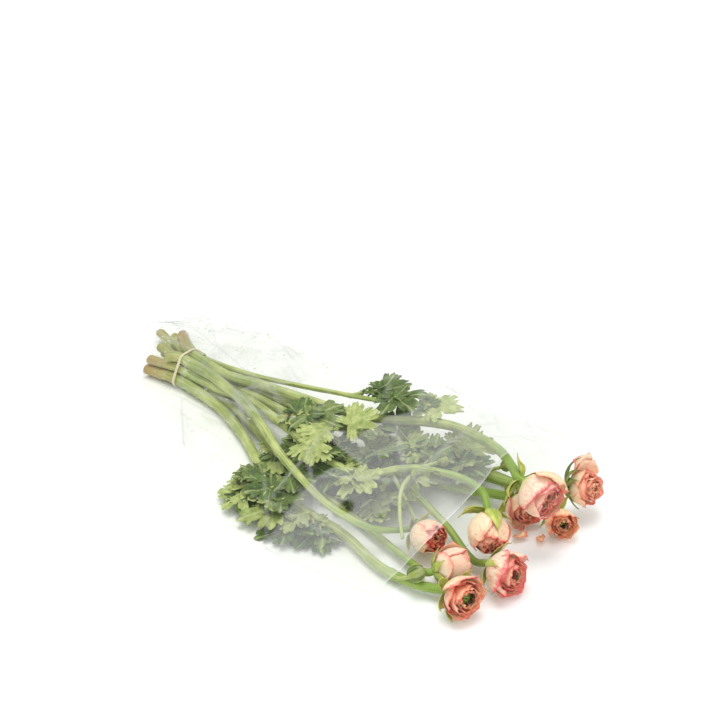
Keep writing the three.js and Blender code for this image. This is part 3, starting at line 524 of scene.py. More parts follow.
pith = add(tree, "ShaderNodeMix", {0: inner, 6: brown, 7: linear("#8d8a4c")}, **MIX_COLOUR)
bump = add(tree, "ShaderNodeBump", {"Height": fibre, "Strength": 0.35, "Distance": 0.0004})
surface = add(tree, "ShaderNodeBsdfPrincipled", {
    "Base Color": pith, "Roughness": 0.46, "IOR": 1.42, "Normal": bump,
    "Subsurface Weight": 0.12, "Subsurface Radius": (0.6, 1.0, 0.25), "Subsurface Scale": 0.002,
    "Sheen Weight": 0.15, "Sheen Roughness": 0.5})
add(tree, "ShaderNodeOutputMaterial", {"Surface": surface})

# %% Stem pieces
for number in BLOOMS:
    make_piece(f"stem_{number}", [stem_part(number)], stem_skin, [NODE[number]])
print("stems made:", len(BLOOMS))


# %% [markdown]
# ## Petals
# A ranunculus bloom is a globe of many thin petals, each a cupped fan on a narrow foot, set round the axis
# at 137.5 degrees from the last. Outer petals wrap the globe, and each inner one stands a little closer to
# the axis, so that the rims show as ruffled rings round a dark hollow. Only those that can be seen are
# made, 12 to 26 in a bloom. A petal is a patch of an ellipsoid given by height angle and turn. Modelling
# one petal and copying it would be quicker, but every copy would have the same waves, and neighbours would
# cut through each other.

# %% Bloom frames and looks
PETAL_ROWS, PETAL_COLUMNS = 24, 45
# Each bloom's own look. Petals are counted from the outermost, 0, and angles are in degrees.
# Form: rims are the height angles of the outer and inner rims, and stagger is how much lower an outer rim
# may be; hollow is the innermost layer's distance from the axis, and deep is how much lower it is, in
# shares of the radius; oval is how far and which way the mouth is stretched, and squash the same for the
# whole bloom; first is the turn of petal 0; heart is the size of the heart. Single petals: loose ones lean
# out, broad ones are wider, low ones have a rim of their own, and turned ones a turn of their own.
# Colour: warm runs from pink to apricot, and amber is the same for single petals; blush is how much the
# rose bleeds in, and flushed the same for single petals; plain keeps the rosy line close to the rim; golden
# is how yellow the sepals are. A sepal is (open, bend, turn, width, length), filled up from SEPAL.
PLAIN_LOOK = {"petals": 19, "deep": 0.35, "squash": (0, 0), "heart": 1.0, "loose": {}, "broad": {}, "low": {},
              "turned": {}, "amber": {}, "flushed": {}, "plain": 1, "golden": 1.0}
SEPAL = (0, 0, None, 0.23, 1.0)  # a turn of None leaves the sepal where the CAD model has it
OWN_LOOKS = {
    1: {"rims": (54, 44), "stagger": 14, "hollow": 0.27, "deep": 0.3, "oval": (0.6, -40), "first": -50,
        "warm": 0.25, "blush": 0.72, "amber": {0: 0.75}, "flushed": {0: 0.6},
        "loose": {0: 0.34}, "broad": {1: 1.5, 3: 1.2}, "turned": {1: 30, 3: 12},
        "low": {0: 58, 1: 34, 3: 43, 6: 48, 2: 52, 4: 50},
        "sepals": [(1.1, 20, -30, 0.26, 0.8), (0.8, 95, 92, 0.32), (0.62, 84, 122, 0.30),
                   (0.0, 62, 260), (1.2, 30, -62, 0.12, 0.6)]},
    2: {"rims": (16, 50), "stagger": 20, "hollow": 0.18, "deep": 0.18, "oval": (0.05, 0), "first": -30,
        "petals": 26, "warm": 0.5, "blush": 0.55, "golden": 0.3,
        "loose": {0: 0.95, 5: 0.78}, "broad": {0: 0.75, 5: 0.7}, "low": {0: 46, 5: 46},
        "sepals": [(0.5, 98, -2, 0.26, 1.5), (0.35, 94, 17, 0.26, 1.3), (0.15, 84, 36, 0.24, 1.15),
                   (0.2, 72, 228), (0.3, 84, 82, 0.22, 1.1), (0.03, 70, 134, 0.30, 1.08),
                   (0.02, 68, 168, 0.26, 1.0)]},
    3: {"rims": (34, 42), "stagger": 8, "hollow": 0.28, "oval": (0.15, 60), "first": 115,
        "petals": 14, "warm": 0.5, "blush": 0.8, "loose": {0: 0.12}, "broad": dict.fromkeys(range(4), 1.4),
        "sepals": [(0.3, 60), (0.3, 76, 100, 0.3, 1.2), (0.3, 60), (0.2, 60), (0.2, 60)]},
    4: {"rims": (34, 38), "stagger": 14, "hollow": 0.30, "oval": (0.2, 20), "first": 80,
        "petals": 12, "warm": 0.85, "blush": 0.66, "loose": {0: 0.05},
        "sepals": [(0.15, 62), (0.2, 62), (0.3, 60), (0.2, 60), (0.55, 60)]},
    5: {"rims": (76, 72), "stagger": 8, "hollow": 0.14, "deep": 0.10, "oval": (0.3, 80), "first": 70,
        "petals": 14, "warm": 0.6, "blush": 0.85, "flushed": {0: 0.6, 1: 1.1, 2: 1.3, 3: 1.2, 4: 1.1},
        "plain": 1.5, "loose": {2: 0.05}, "low": {0: 58, 2: 66},
        "broad": {0: 1.25, 1: 1.3, 2: 1.3, 3: 1.2, 4: 1.2, 5: 1.2},
        "sepals": [(0.75, 95, 62), (0.8, 100, 98, 0.28), (0.5, 76), (0.3, 60), (0.0, 106, -14, 0.36, 1.6)]},
    6: {"rims": (34, 46), "stagger": 20, "hollow": 0.30, "deep": 0.40, "oval": (0.22, 30), "first": 50,
        "petals": 16, "warm": 0.35, "blush": 1.0, "heart": 1.1,
        "loose": {0: 0.06, 2: 0.16, 3: 0.12}, "broad": {0: 1.3},
        "sepals": [(0.0, 90, 40, 0.26, 1.4), (0.1, 78, 104, 0.24, 1.25), (0.2, 60), (0.3, 60),
                   (0.1, 80, -20, 0.24, 1.25)]},
    7: {"rims": (22, 36), "stagger": 14, "hollow": 0.37, "deep": 0.36, "oval": (0.1, 0), "first": 10,
        "petals": 15, "warm": 0.6, "blush": 0.80, "heart": 1.3, "squash": (0.07, 90), "low": {1: 14, 3: 10},
        "sepals": [(0.3, 84, 44, 0.24, 1.3), (0.06, 82, 108, 0.28, 1.3), (0.08, 86, 146, 0.30, 1.35),
                   (0.2, 60), (0.1, 60)]},
    8: {"rims": (54, 54), "stagger": 8, "hollow": 0.24, "deep": 0.2, "oval": (0.15, 40), "first": -100,
        "warm": 0.35, "blush": 0.62, "flushed": {1: 0.5, 4: 0.5}, "plain": 2.2,
        "broad": {4: 1.6}, "low": {1: -10, 4: 50},
        "sepals": [(0.05, 62), (0.0, 76, 104, 0.36, 1.25), (0.1, 62, 150), (0.05, 60), (0.05, 60)]},
    9: {"rims": (58, 60), "stagger": 14, "hollow": 0.2, "deep": 0.12, "oval": (0.2, 40), "first": 70,
        "petals": 15, "warm": 0.65, "blush": 1.0, "flushed": dict.fromkeys(range(3, 7), 1.3), "plain": 1.4,
        "loose": {2: 0.1}, "broad": dict.fromkeys(range(1, 5), 1.3),
        "sepals": [(0.15, 60), (0.25, 84, 118, 0.26, 1.3), (0.3, 64), (0.2, 60), (0.1, 60)]},
}
LOOKS = {number: PLAIN_LOOK | own for number, own in OWN_LOOKS.items()}
NOD = {1: 28, 2: 24, 5: 26, 7: -12, 9: 8}  # degrees by which a bloom's mouth has turned from its stem's way


def bloom_axes(axis):
    """A bloom's own axes as rows: the way up as seen along its axis, across it, and the axis itself."""
    z = unit(axis)
    x = unit(np.array([0, 0, 1.0]) - z[2] * z)
    return np.stack([x, np.cross(z, x), z])


ON_TABLE = 0.35  # mm, the lowest that a point of a bloom lies


def placed(local, centre, axis, lowest=ON_TABLE):
    """Points of a bloom's own frame on the plan, none lower than the table allows."""
    points = np.asarray(centre, float) + local @ bloom_axes(axis)
    points[..., 2] = np.maximum(points[..., 2], lowest)
    return points


def nod(local, number):
    """Turns a bloom's points by an angle that grows from none at the foot to NOD at the mouth, which bends
    the mouth towards the camera's side and leaves the globe a globe."""
    bloom = BLOOMS[number]
    to_camera = bloom_axes(bloom["axis"]) @ -forward
    to = np.array([*to_camera[:2], 0]) / math.hypot(*to_camera[:2])
    angle = math.radians(NOD.get(number, 0)) * ease((local[..., 2:] / bloom["radius"] + 0.9) / 1.4)
    ahead = (local @ to)[..., None]
    z = local[..., 2:]
    turned = local + (ahead * np.cos(angle) + z * np.sin(angle) - ahead) * to
    turned[..., 2:] = z * np.cos(angle) - ahead * np.sin(angle)
    return turned


# %% One petal
OUTERMOST = 0.955  # distance of the outermost petal from the axis, in parts of the bloom's radius
PETAL_FOOT = 0.2  # distance of every petal's foot, just inside the stem's end
RIM_FALL = math.radians(34)  # how much lower a rim's corners are than its middle


def petal_part(number, order):
    """Patch of an ellipsoid: distance from the axis = wide x cos(rise) and height = tall x sin(rise), from a
    narrow foot at the column up to a rounded rim. The rim is waved and rolls outwards. Waves that follow the
    turn round the axis are shared by all the layers, so that neighbours keep apart."""
    bloom, look = BLOOMS[number], LOOKS[number]
    radius = bloom["radius"]
    draw = np.random.default_rng([number, order])
    depth = order / (look["petals"] - 1)
    outer = 1 - depth
    u = np.linspace(-1, 1, PETAL_COLUMNS)[None]
    v = np.linspace(0, 1, PETAL_ROWS)[:, None]
    wide = radius * (OUTERMOST - (OUTERMOST - look["hollow"]) * depth**0.85)
    tall = radius * (0.96 - look["deep"] * depth)

    foot = -math.acos(min(0.95, PETAL_FOOT * radius / wide))
    rim = look["rims"][0] * outer + look["rims"][1] * depth + draw.uniform(-5 - look["stagger"] * outer, 4)
    rim = look["low"].get(order, rim)
    half = min(1.45, draw.uniform(0.80, 1.0) * radius / wide * look["broad"].get(order, 1))
    phases = draw.uniform(0, FULL, 4)
    notch = 3.0 * np.sin(3.5 * u + phases[0]) + 1.8 * np.sin(8 * u + phases[1])
    notch = (notch + 0.5 * np.sin(17 * u + phases[2])) * (0.4 + 0.6 * outer)
    rise = foot + (math.radians(rim) - RIM_FALL * np.abs(u) ** 2.8 - foot) * v + v**4 * np.radians(notch)
    spread = 0.26 + 0.74 * ease(v / 0.6)
    middle = look["first"] + math.degrees(order * GOLDEN + draw.uniform(-0.12, 0.12))
    turn = math.radians(look["turned"].get(order, middle)) + u * half * spread

    stretch, stretch_turn = look["oval"]
    squash, squash_turn = look["squash"]
    across = wide * np.cos(rise) * (1 + stretch * depth * np.cos(2 * (turn - math.radians(stretch_turn))))
    across = across * (1 + squash * np.cos(2 * (turn - math.radians(squash_turn))))
    shared = 7 * depth + number
    waved = 0.013 * u + 0.02 * np.sin(3 * turn + shared) * np.sin(3 * v)
    waved = waved + 0.008 * np.sin(8 * turn + 2 * shared) * v
    ruffle = 0.052 * v**6 * np.sin(8 * turn + shared) + 0.020 * v**9 * np.sin(12 * u + phases[3])
    ruffle += 0.016 * v**8 * np.sin(21 * turn + 3 * shared)
    roll = np.clip((v - 0.8) / 0.2, 0, 1) ** 2
    lip = draw.uniform(0.03, 0.09) * (0.35 + 0.65 * outer)
    across = across + radius * (waved + ruffle + lip * roll)
    height = tall * np.sin(rise) - radius * 0.55 * lip * roll
    lean = look["loose"].get(order, 0)
    across += radius * lean * v**1.6 * (1 - 0.3 * u**2)
    height -= radius * lean * min(0.95, 0.5 + 0.5 * lean) * v**3
    local = np.stack([across * np.cos(turn), across * np.sin(turn), height], -1)

    length = (math.radians(rim) - foot) * (wide + tall) / 2
    sides = (1 - np.abs(u)) * half * spread * wide / np.clip(v, 0.25, 1) ** 2
    margin = np.minimum((1 - v) * length, sides)
    own = float(order * 31 + number * 7)  # a place of its own in the streaks for each petal
    skin = np.stack(np.broadcast_arrays(u * half * spread * wide, v * length, own), -1)
    near = 1 - ease(margin / (7 - 4.8 * math.sqrt(depth)))
    points = placed(nod(local, number), bloom["centre"], bloom["axis"])
    blush = look["blush"] + draw.uniform(-0.3, 0.3) - 0.2 * depth
    return grid_part(points, skin=skin, margin=margin / 10 * (1 + depth) * look["plain"], near=near,
                     depth=depth, up=v, warm=look["amber"].get(order, min(1, look["warm"] + 0.25 * depth)),
                     blush=look["flushed"].get(order, blush))


# %% [markdown]
# Petal colour is laid down in layers. As on the real one: a cream ground, a blush that bleeds down from the
# rim in streaks, fine veins, a golden tint on the inner petals and a thin rosy line along the rim itself.
# Far down between the inner petals a painted shade turns the colour red and then dark brown, and the foot is
# yellow-green on outer petals and olive-brown on inner ones, partly painted shade in the hollow. The
# "margin" value is the distance from the rim in centimetres, stretched on inner petals so that their line is
# thinner. Petals are thin and let light through, so subsurface scattering softens their shadows.

# %% Petal material
petal_skin, tree = start_material("petal, thin satin tissue, veined and blushed at the rim")
skin = add(tree, "ShaderNodeAttribute", attribute_name="skin").outputs["Vector"]
margin, near, depth, up, warm, blush = (
    add(tree, "ShaderNodeAttribute", attribute_name=name).outputs["Fac"]
    for name in ("margin", "near", "depth", "up", "warm", "blush"))
streak_map = add(tree, "ShaderNodeMapping", {"Vector": skin, "Scale": (0.5, 0.16, 1.0)})  # streaks 2 mm wide
streak = add(tree, "ShaderNodeTexNoise", {"Vector": streak_map, "Scale": 1.0, "Detail": 5, "Roughness": 0.7})
vein_map = add(tree, "ShaderNodeMapping", {"Vector": skin, "Scale": (1.5, 0.12, 1.0)})  # a vein each 0.7 mm
vein = add(tree, "ShaderNodeTexNoise", {"Vector": vein_map, "Scale": 1.0, "Detail": 2})
rose = add(tree, "ShaderNodeMix", {0: warm, 6: linear("#f07484"), 7: linear("#f9835a")}, **MIX_COLOUR)
cream = add(tree, "ShaderNodeMix", {0: warm, 6: linear("#ffe3cf"), 7: linear("#ffdfae")}, **MIX_COLOUR)
bleed = add(tree, "ShaderNodeMath", {0: streak, 1: 2.9, 2: -1.32}, operation="MULTIPLY_ADD")
reach = add(tree, "ShaderNodeMath", {0: near, 1: 0.8, 2: bleed}, operation="MULTIPLY_ADD")
flush = add(tree, "ShaderNodeMath", {0: reach, 1: blush}, operation="MULTIPLY", use_clamp=True)
body = add(tree, "ShaderNodeMix", {0: flush, 6: cream, 7: rose}, **MIX_COLOUR)
vein_line = add(tree, "ShaderNodeMapRange", {"Value": vein, "From Min": 0.55, "From Max": 0.72})
vein_share = add(tree, "ShaderNodeMath", {0: vein_line, 1: 0.3}, operation="MULTIPLY")
veined = add(tree, "ShaderNodeMix", {0: vein_share, 6: body, 7: rose}, **MIX_COLOUR)
inner = add(tree, "ShaderNodeMapRange", {"Value": depth, "From Min": 0.4, "To Max": 0.36})
golden = add(tree, "ShaderNodeMath", {0: inner, 1: warm}, operation="MULTIPLY")
gilded = add(tree, "ShaderNodeMix", {0: golden, 6: veined, 7: linear("#f8d8a0")}, **MIX_COLOUR)
# Painted shade: on inner petals, far from the rim and down between the neighbours, the colour turns red and,
# on the innermost, dark brown.
inside = add(tree, "ShaderNodeMapRange", {"Value": depth, "From Min": 0.12, "From Max": 0.45})
far_in = add(tree, "ShaderNodeMapRange", {
    "Value": margin, "From Min": 0.22, "From Max": 0.66, "To Max": 0.62})
gap = add(tree, "ShaderNodeMath", {0: inside, 1: far_in}, operation="MULTIPLY")
deepest = add(tree, "ShaderNodeMapRange", {"Value": depth, "From Min": 0.6, "From Max": 0.95})
shadowed = add(tree, "ShaderNodeMix", {0: deepest, 6: linear("#d4452f"), 7: linear("#42180e")}, **MIX_COLOUR)
shaded = add(tree, "ShaderNodeMix", {0: gap, 6: gilded, 7: shadowed}, **MIX_COLOUR)
# The foot is yellow-green on outer petals and olive-brown on inner ones: partly its own colour, partly
# painted shade deep in the hollow.
foot = add(tree, "ShaderNodeMapRange", {"Value": up, "From Min": 0.40, "From Max": 0.10})
base = add(tree, "ShaderNodeMix", {0: depth, 6: linear("#dcd88e"), 7: linear("#94611f")}, **MIX_COLOUR)
footed = add(tree, "ShaderNodeMix", {0: foot, 6: shaded, 7: base}, **MIX_COLOUR)
rim_line = add(tree, "ShaderNodeMapRange", {"Value": margin, "From Min": 0.17, "From Max": 0.03},
               interpolation_type="SMOOTHSTEP")
line_share = add(tree, "ShaderNodeMath", {0: rim_line, 1: 0.62}, operation="MULTIPLY")
rim_rose = add(tree, "ShaderNodeMix", {0: warm, 6: linear("#d43a64"), 7: linear("#de4730")}, **MIX_COLOUR)
rimmed = add(tree, "ShaderNodeMix", {0: line_share, 6: footed, 7: rim_rose}, **MIX_COLOUR)
bump = add(tree, "ShaderNodeBump", {"Height": vein, "Strength": 0.3, "Distance": 0.0003})
surface = add(tree, "ShaderNodeBsdfPrincipled", {
    "Base Color": rimmed, "Roughness": 0.5, "IOR": 1.4, "Normal": bump,
    "Subsurface Weight": 0.5, "Subsurface Radius": (1.0, 0.6, 0.45), "Subsurface Scale": 0.0008,
    "Sheen Weight": 0.15, "Sheen Roughness": 0.4})
add(tree, "ShaderNodeOutputMaterial", {"Surface": surface})

# %% Petal pieces
PETAL_THICK = 0.25  # mm
for number, look in LOOKS.items():
    parts = [petal_part(number, order) for order in range(look["petals"])]
    make_piece(f"petals_{number}", parts, petal_skin, [f"flower_{number}_petals"], PETAL_THICK)
print("petals made:", sum(look["petals"] for look in LOOKS.values()))


# %% [markdown]
# ## Sepals
# Five green sepals stand behind each bloom, and the second has two more, as in the photograph. In bud they
# wrapped it. On an open bloom some still hug the globe and others have curled back towards the stem. A sepal
# is a pointed strip carried along a path that bends at a steady rate round the globe, and that starts out the
# further from it the more the sepal has opened. A flat leaf bent by a modifier would not follow the globe.

# %% Sepals
def draws(seed):
    """The CAD model's own stream of random numbers, so that sepals and leaves come out in the same places."""
    state = seed
    while True:
        state = (state * 1664525 + 1013904223) % 4294967296
        yield state / 4294967296


chance = {number: draws(len(stem["line"]) * 97) for number, stem in stems.items()}
NECK_RISE = math.radians(85)  # how far below the globe's middle a sepal starts


def sepal_part(centre, axis, radius, middle, flare, shape, seed, lowest=ON_TABLE, golden=1.0):
    """Strip along a path in the plane through the axis. At the neck the path leaves the globe the more it is
    open, and then bends round it by `bend` degrees. The strip narrows to its tip, its edges bend in, its tip
    flares out, and low ribs and two waves run over it, all measured along the path's own normal."""
    draw = np.random.default_rng([seed, 5])
    opened, bend, width, length = shape
    u = np.linspace(-1, 1, 9)[None]
    v = np.linspace(0, 1, 19)[:, None]
    start = radius + 1.3
    angle = np.radians(5 - 50 * opened + bend * v)
    step = math.radians(65) * length * start / (len(v) - 1)
    out = start * math.cos(NECK_RISE) + np.cumsum(np.cos(angle), 0) * step - np.cos(angle[0]) * step
    rise = -start * math.sin(NECK_RISE) + np.cumsum(np.sin(angle), 0) * step - np.sin(angle[0]) * step
    half = radius * width * (0.4 + 0.6 * ease(v / 0.35)) * (1 - ease((v - 0.3) / 0.7) ** 1.3)
    half *= 1 + 0.06 * np.sin(17 * v + draw.uniform(0, FULL))
    half = np.maximum(half, 0.02)
    inward = half * (half / (2 * radius) + 0.16 + 0.22 * opened) * u**2
    inward += half * 0.16 * np.sin(3 * u + 3 * v + draw.uniform(0, FULL)) * v - flare * v**2
    inward += 0.2 * np.cos(2.5 * math.pi * u) + radius * 0.05 * np.sin(5 * v + draw.uniform(0, FULL)) * v
    out, rise = out - np.sin(angle) * inward, rise + np.cos(angle) * inward
    side = u * half + radius * 0.10 * v**2 * draw.uniform(-1, 1)
    points = placed(np.stack([*spun(out, side, middle), rise], -1), centre, axis, lowest)
    skin = np.stack(np.broadcast_arrays(side, v * radius, float(seed)), -1)
    edge = golden * np.maximum(0.7 * np.abs(u) ** 5 * v, 0.7 * v**8)
    return grid_part(points, skin=skin, rib=np.abs(np.sin(2.5 * math.pi * u)), share=0.1, gold=edge,
                     fresh=golden, tone=draw.uniform(0.4, 1.15) * (0.3 + 0.7 * golden))


SLEEVE_TO = 114  # a bloom that begins nearer to the cut ends than this x lies on the sleeve's lower film
GROWN = 5  # sepals whose turn and flare come from the CAD model's own draws
sepals = {}
for number, look in LOOKS.items():
    bloom = BLOOMS[number]
    sepals[number] = []
    for k, spec in enumerate(look["sepals"]):
        opened, bend, turn, *size = spec + SEPAL[len(spec):]
        middle, flare = math.radians(turn or 0), 2.0
        if k < GROWN:
            grown = FULL * (k + 0.5 + 0.3 * (next(chance[number]) - 0.5)) / GROWN
            middle = grown if turn is None else middle
            flare = (1.5 + 3.5 * next(chance[number])) * bloom.get("flare", 1)
        flare *= min(1, 0.15 + 2.5 * opened)
        lowest = FLOOR if bloom["centre"][0] - bloom["radius"] < SLEEVE_TO else ON_TABLE
        sepals[number].append(sepal_part(bloom["centre"], bloom["axis"], bloom["radius"], middle, flare,
                                         (opened, bend, *size), number * 10 + k, lowest, look["golden"]))

# %% [markdown]
# Sepals and leaves are the same kind of tissue. One material serves both: a green with paler ribs and
# slanting side veins, blotches a few millimetres wide, and a yellowish margin on the sepals. "Fresh" is 1
# on a sepal and 0 on a leaf, "tone" runs from dark to pale, and "rib" is 0 on a rib and 1 half way to the
# next one.

# %% Leaf material
leaf_skin, tree = start_material("leaf, soft living tissue, matt and ribbed")
skin = add(tree, "ShaderNodeAttribute", attribute_name="skin").outputs["Vector"]
rib, share, gold, tone, fresh = (add(tree, "ShaderNodeAttribute", attribute_name=name).outputs["Fac"]
                                 for name in ("rib", "share", "gold", "tone", "fresh"))
blotch = add(tree, "ShaderNodeTexNoise", {"Vector": skin, "Scale": 0.16, "Detail": 4, "Roughness": 0.6})
dark_end = add(tree, "ShaderNodeMix", {0: fresh, 6: linear("#8a9c49"), 7: linear("#8fa42f")}, **MIX_COLOUR)
pale_end = add(tree, "ShaderNodeMix", {0: fresh, 6: linear("#c2cb84"), 7: linear("#ced871")}, **MIX_COLOUR)
dark = add(tree, "ShaderNodeMix", {0: tone, 6: linear("#29430f"), 7: dark_end}, **MIX_COLOUR)
pale = add(tree, "ShaderNodeMix", {0: tone, 6: linear("#5b7926"), 7: pale_end}, **MIX_COLOUR)
spread = add(tree, "ShaderNodeMapRange", {"Value": blotch, "From Min": 0.36, "From Max": 0.66})
ground = add(tree, "ShaderNodeMix", {0: spread, 6: dark, 7: pale}, **MIX_COLOUR)
on_rib = add(tree, "ShaderNodeMapRange", {"Value": rib, "From Min": 0.16, "From Max": 0.02})
side_vein = add(tree, "ShaderNodeMath", {0: share, 1: 9.0}, operation="MULTIPLY")
slanted = add(tree, "ShaderNodeMath", {0: rib, 1: -2.2, 2: side_vein}, operation="MULTIPLY_ADD")
cycle = add(tree, "ShaderNodeMath", {0: slanted, 1: 0.5}, operation="PINGPONG")
on_side = add(tree, "ShaderNodeMapRange", {"Value": cycle, "From Min": 0.1, "From Max": 0.0, "To Max": 0.5})
veins = add(tree, "ShaderNodeMath", {0: on_rib, 1: on_side}, operation="MAXIMUM")
vein_share = add(tree, "ShaderNodeMath", {0: veins, 1: 0.45}, operation="MULTIPLY")
veined = add(tree, "ShaderNodeMix", {0: vein_share, 6: ground, 7: linear("#c9d494")}, **MIX_COLOUR)
golden = add(tree, "ShaderNodeMix", {0: gold, 6: veined, 7: linear("#dcb86e")}, **MIX_COLOUR)
bump = add(tree, "ShaderNodeBump", {"Height": veins, "Strength": 0.5, "Distance": 0.0004}, invert=True)
surface = add(tree, "ShaderNodeBsdfPrincipled", {
    "Base Color": golden, "Roughness": 0.5, "IOR": 1.42, "Normal": bump,
    "Subsurface Weight": 0.12, "Subsurface Radius": (0.5, 1.0, 0.2), "Subsurface Scale": 0.0015,
    "Sheen Weight": 0.12, "Sheen Roughness": 0.5})
add(tree, "ShaderNodeOutputMaterial", {"Surface": surface})

# %% Sepal pieces
for number, parts in sepals.items():
    make_piece(f"sepals_{number}", parts, leaf_skin, [NODE[number]], thickness=0.5)
print("sepals made:", sum(len(parts) for parts in sepals.values()))

# %% [markdown]
# ## Heights of the sleeve
# Leaves have to stay under the film, so its heights are needed first. The CAD sleeve is draped over the stems
# on a coarse grid of stations along it and places across it. Those heights are read back from its node: the
# highest corner that lies at each place of the grid. Draping a second time could only come out different.

# %% Draped heights from the CAD node
ACROSS = 10  # places across the sleeve
SAME_PLACE = 1.2  # mm on the plan, within which a corner counts as lying at a place
sleeve_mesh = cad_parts["sleeve"].data
corners = np.zeros(len(sleeve_mesh.vertices) * 3)
sleeve_mesh.vertices.foreach_get("co", corners)
corners = corners.reshape(-1, 3) * 1000 - SHIFT


def plan_place(station, across):
    """Place on the plan of a station along the sleeve and a share across it: straight lines between the
    edges, and a bulge that is 4 x share x (1 - share) of its full reach."""
    rows = np.stack([np.interp(station, np.arange(len(EDGES)), column) for column in EDGES.T], -1)
    x = rows[..., 0] + (rows[..., 2] - rows[..., 0]) * across + rows[..., 4] * 4 * across * (1 - across)
    return np.stack([x, rows[..., 1] + (rows[..., 3] - rows[..., 1]) * across], -1)


stations, shares = np.arange(len(EDGES), dtype=float), np.linspace(0, 1, ACROSS + 1)
spots = plan_place(*np.meshgrid(stations, shares, indexing="ij"))
apart = np.linalg.norm(spots[:, :, None] - corners[:, :2], axis=-1)
sheet_heights = np.where(apart < SAME_PLACE, corners[:, 2], 0).max(-1)
print("sleeve rises to", round(float(sheet_heights.max()), 1), "mm")


def smooth_rows(values, places):
    """Catmull-Rom curve through the rows of an array, read at fractional places."""
    padded = np.concatenate([2 * values[:1] - values[1:2], values, 2 * values[-1:] - values[-2:-1]])
    i = np.clip(places.astype(int), 0, len(values) - 2)
    return cubic(*(padded[i + k] for k in range(4)), (places - i)[:, None])


def sheet_height(station, share):
    """Height of the film at a station and a share across: straight lines between the CAD's heights."""
    i = np.clip(station.astype(int), 0, len(EDGES) - 2)
    j = np.clip((share * ACROSS).astype(int), 0, ACROSS - 1)
    s, t = station - i, share * ACROSS - j
    low = sheet_heights[i, j] * (1 - t) + sheet_heights[i, j + 1] * t
    return low * (1 - s) + (sheet_heights[i + 1, j] * (1 - t) + sheet_heights[i + 1, j + 1] * t) * s


# %% [markdown]
# ## Leaves
# A leaf has a large leaflet at its end and two smaller pairs along its stalk, each cut into lobes and edged
# with small pointed teeth, soft enough to drape over the stems it lies on. A leaflet's outline is given as
# a distance from its foot for every direction, which is enough for any leaf that can be seen whole from its
# foot. The heights come from the CAD rule, which lifts each place over the stems below it, and are then
# joined smoothly, with a trough along each lobe. A picture of a leaf on a card would be lighter, but would
# lie flat.

# %% Draping
REACH, CLEAR, STALK = 6.5, 0.7, 1.3  # mm around a stem, above it, and a leaf stalk's half thickness
UNDER = 1.0  # mm that a blade stays below the film
LEAF_ANGLES = np.radians([0, 22, 34, 54, 84, 118, 180, -118, -84, -54, -34, -22])
LEAF_FAR = np.array([1, 0.7, 0.45, 0.9, 0.5, 0.6, 0.12, 0.6, 0.5, 0.9, 0.45, 0.7])
LOBES = np.radians([0, 54, -54, 118, -118])
LOBE_TIPS = np.array([1.0, 0.9, 0.9, 0.62, 0.62])


def clear_of_stems(points, own, level, half, reach=REACH):
    """Heights of points after each is lifted over the stems that pass below the level and lowered under the
    others, as far as they are within reach."""
    low, high = np.full(len(points), FLOOR + half), np.full(len(points), 200.0)
    for number, stem in stems.items():
        if number == own:
            continue
        line, radii = stem["line"], stem["radii"]
        near = np.hypot(*(points[:, None, k] - line[:, k] for k in (0, 1))) <= radii + reach
        below = line[:, 2] < level
        room = radii + CLEAR + half
        low = np.maximum(low, np.where(near & below, line[:, 2] + room, -np.inf).max(1))
        high = np.minimum(high, np.where(near & ~below, line[:, 2] - room, np.inf).min(1))
    return np.minimum(np.maximum(points[:, 2], low), high)


# %% Leaf blades
film_grid = np.meshgrid(np.linspace(0, len(EDGES) - 1, 61), np.linspace(0, 1, 41), indexing="ij")
film_places = [values.ravel() for values in film_grid]
film_spots, film_heights = plan_place(*film_places), sheet_height(*film_places)


def under_film(points):
    """Points kept below the film: each looks up the nearest of a grid of film places."""
    flat = points.reshape(-1, 3)
    nearest = np.hypot(*(flat[:, None, k] - film_spots[:, k] for k in (0, 1))).argmin(1)
    top = np.maximum(film_heights[nearest] - UNDER, FLOOR + 0.4).reshape(points.shape[:-1])
    points[..., 2] = np.minimum(points[..., 2], top)
    return points


def evened(values):
    """The mean of each value and its two neighbours, round a closed outline."""
    return (values + np.roll(values, 1) + np.roll(values, -1)) / 3


BLADE_SHARES = np.array([0, 0.12, 0.26, 0.4, 0.54, 0.66, 0.77, 0.87, 0.95, 1.0])[:, None]  # from foot to rim
TROUGH = 0.065  # how deep the trough along a lobe is, in parts of the blade's size


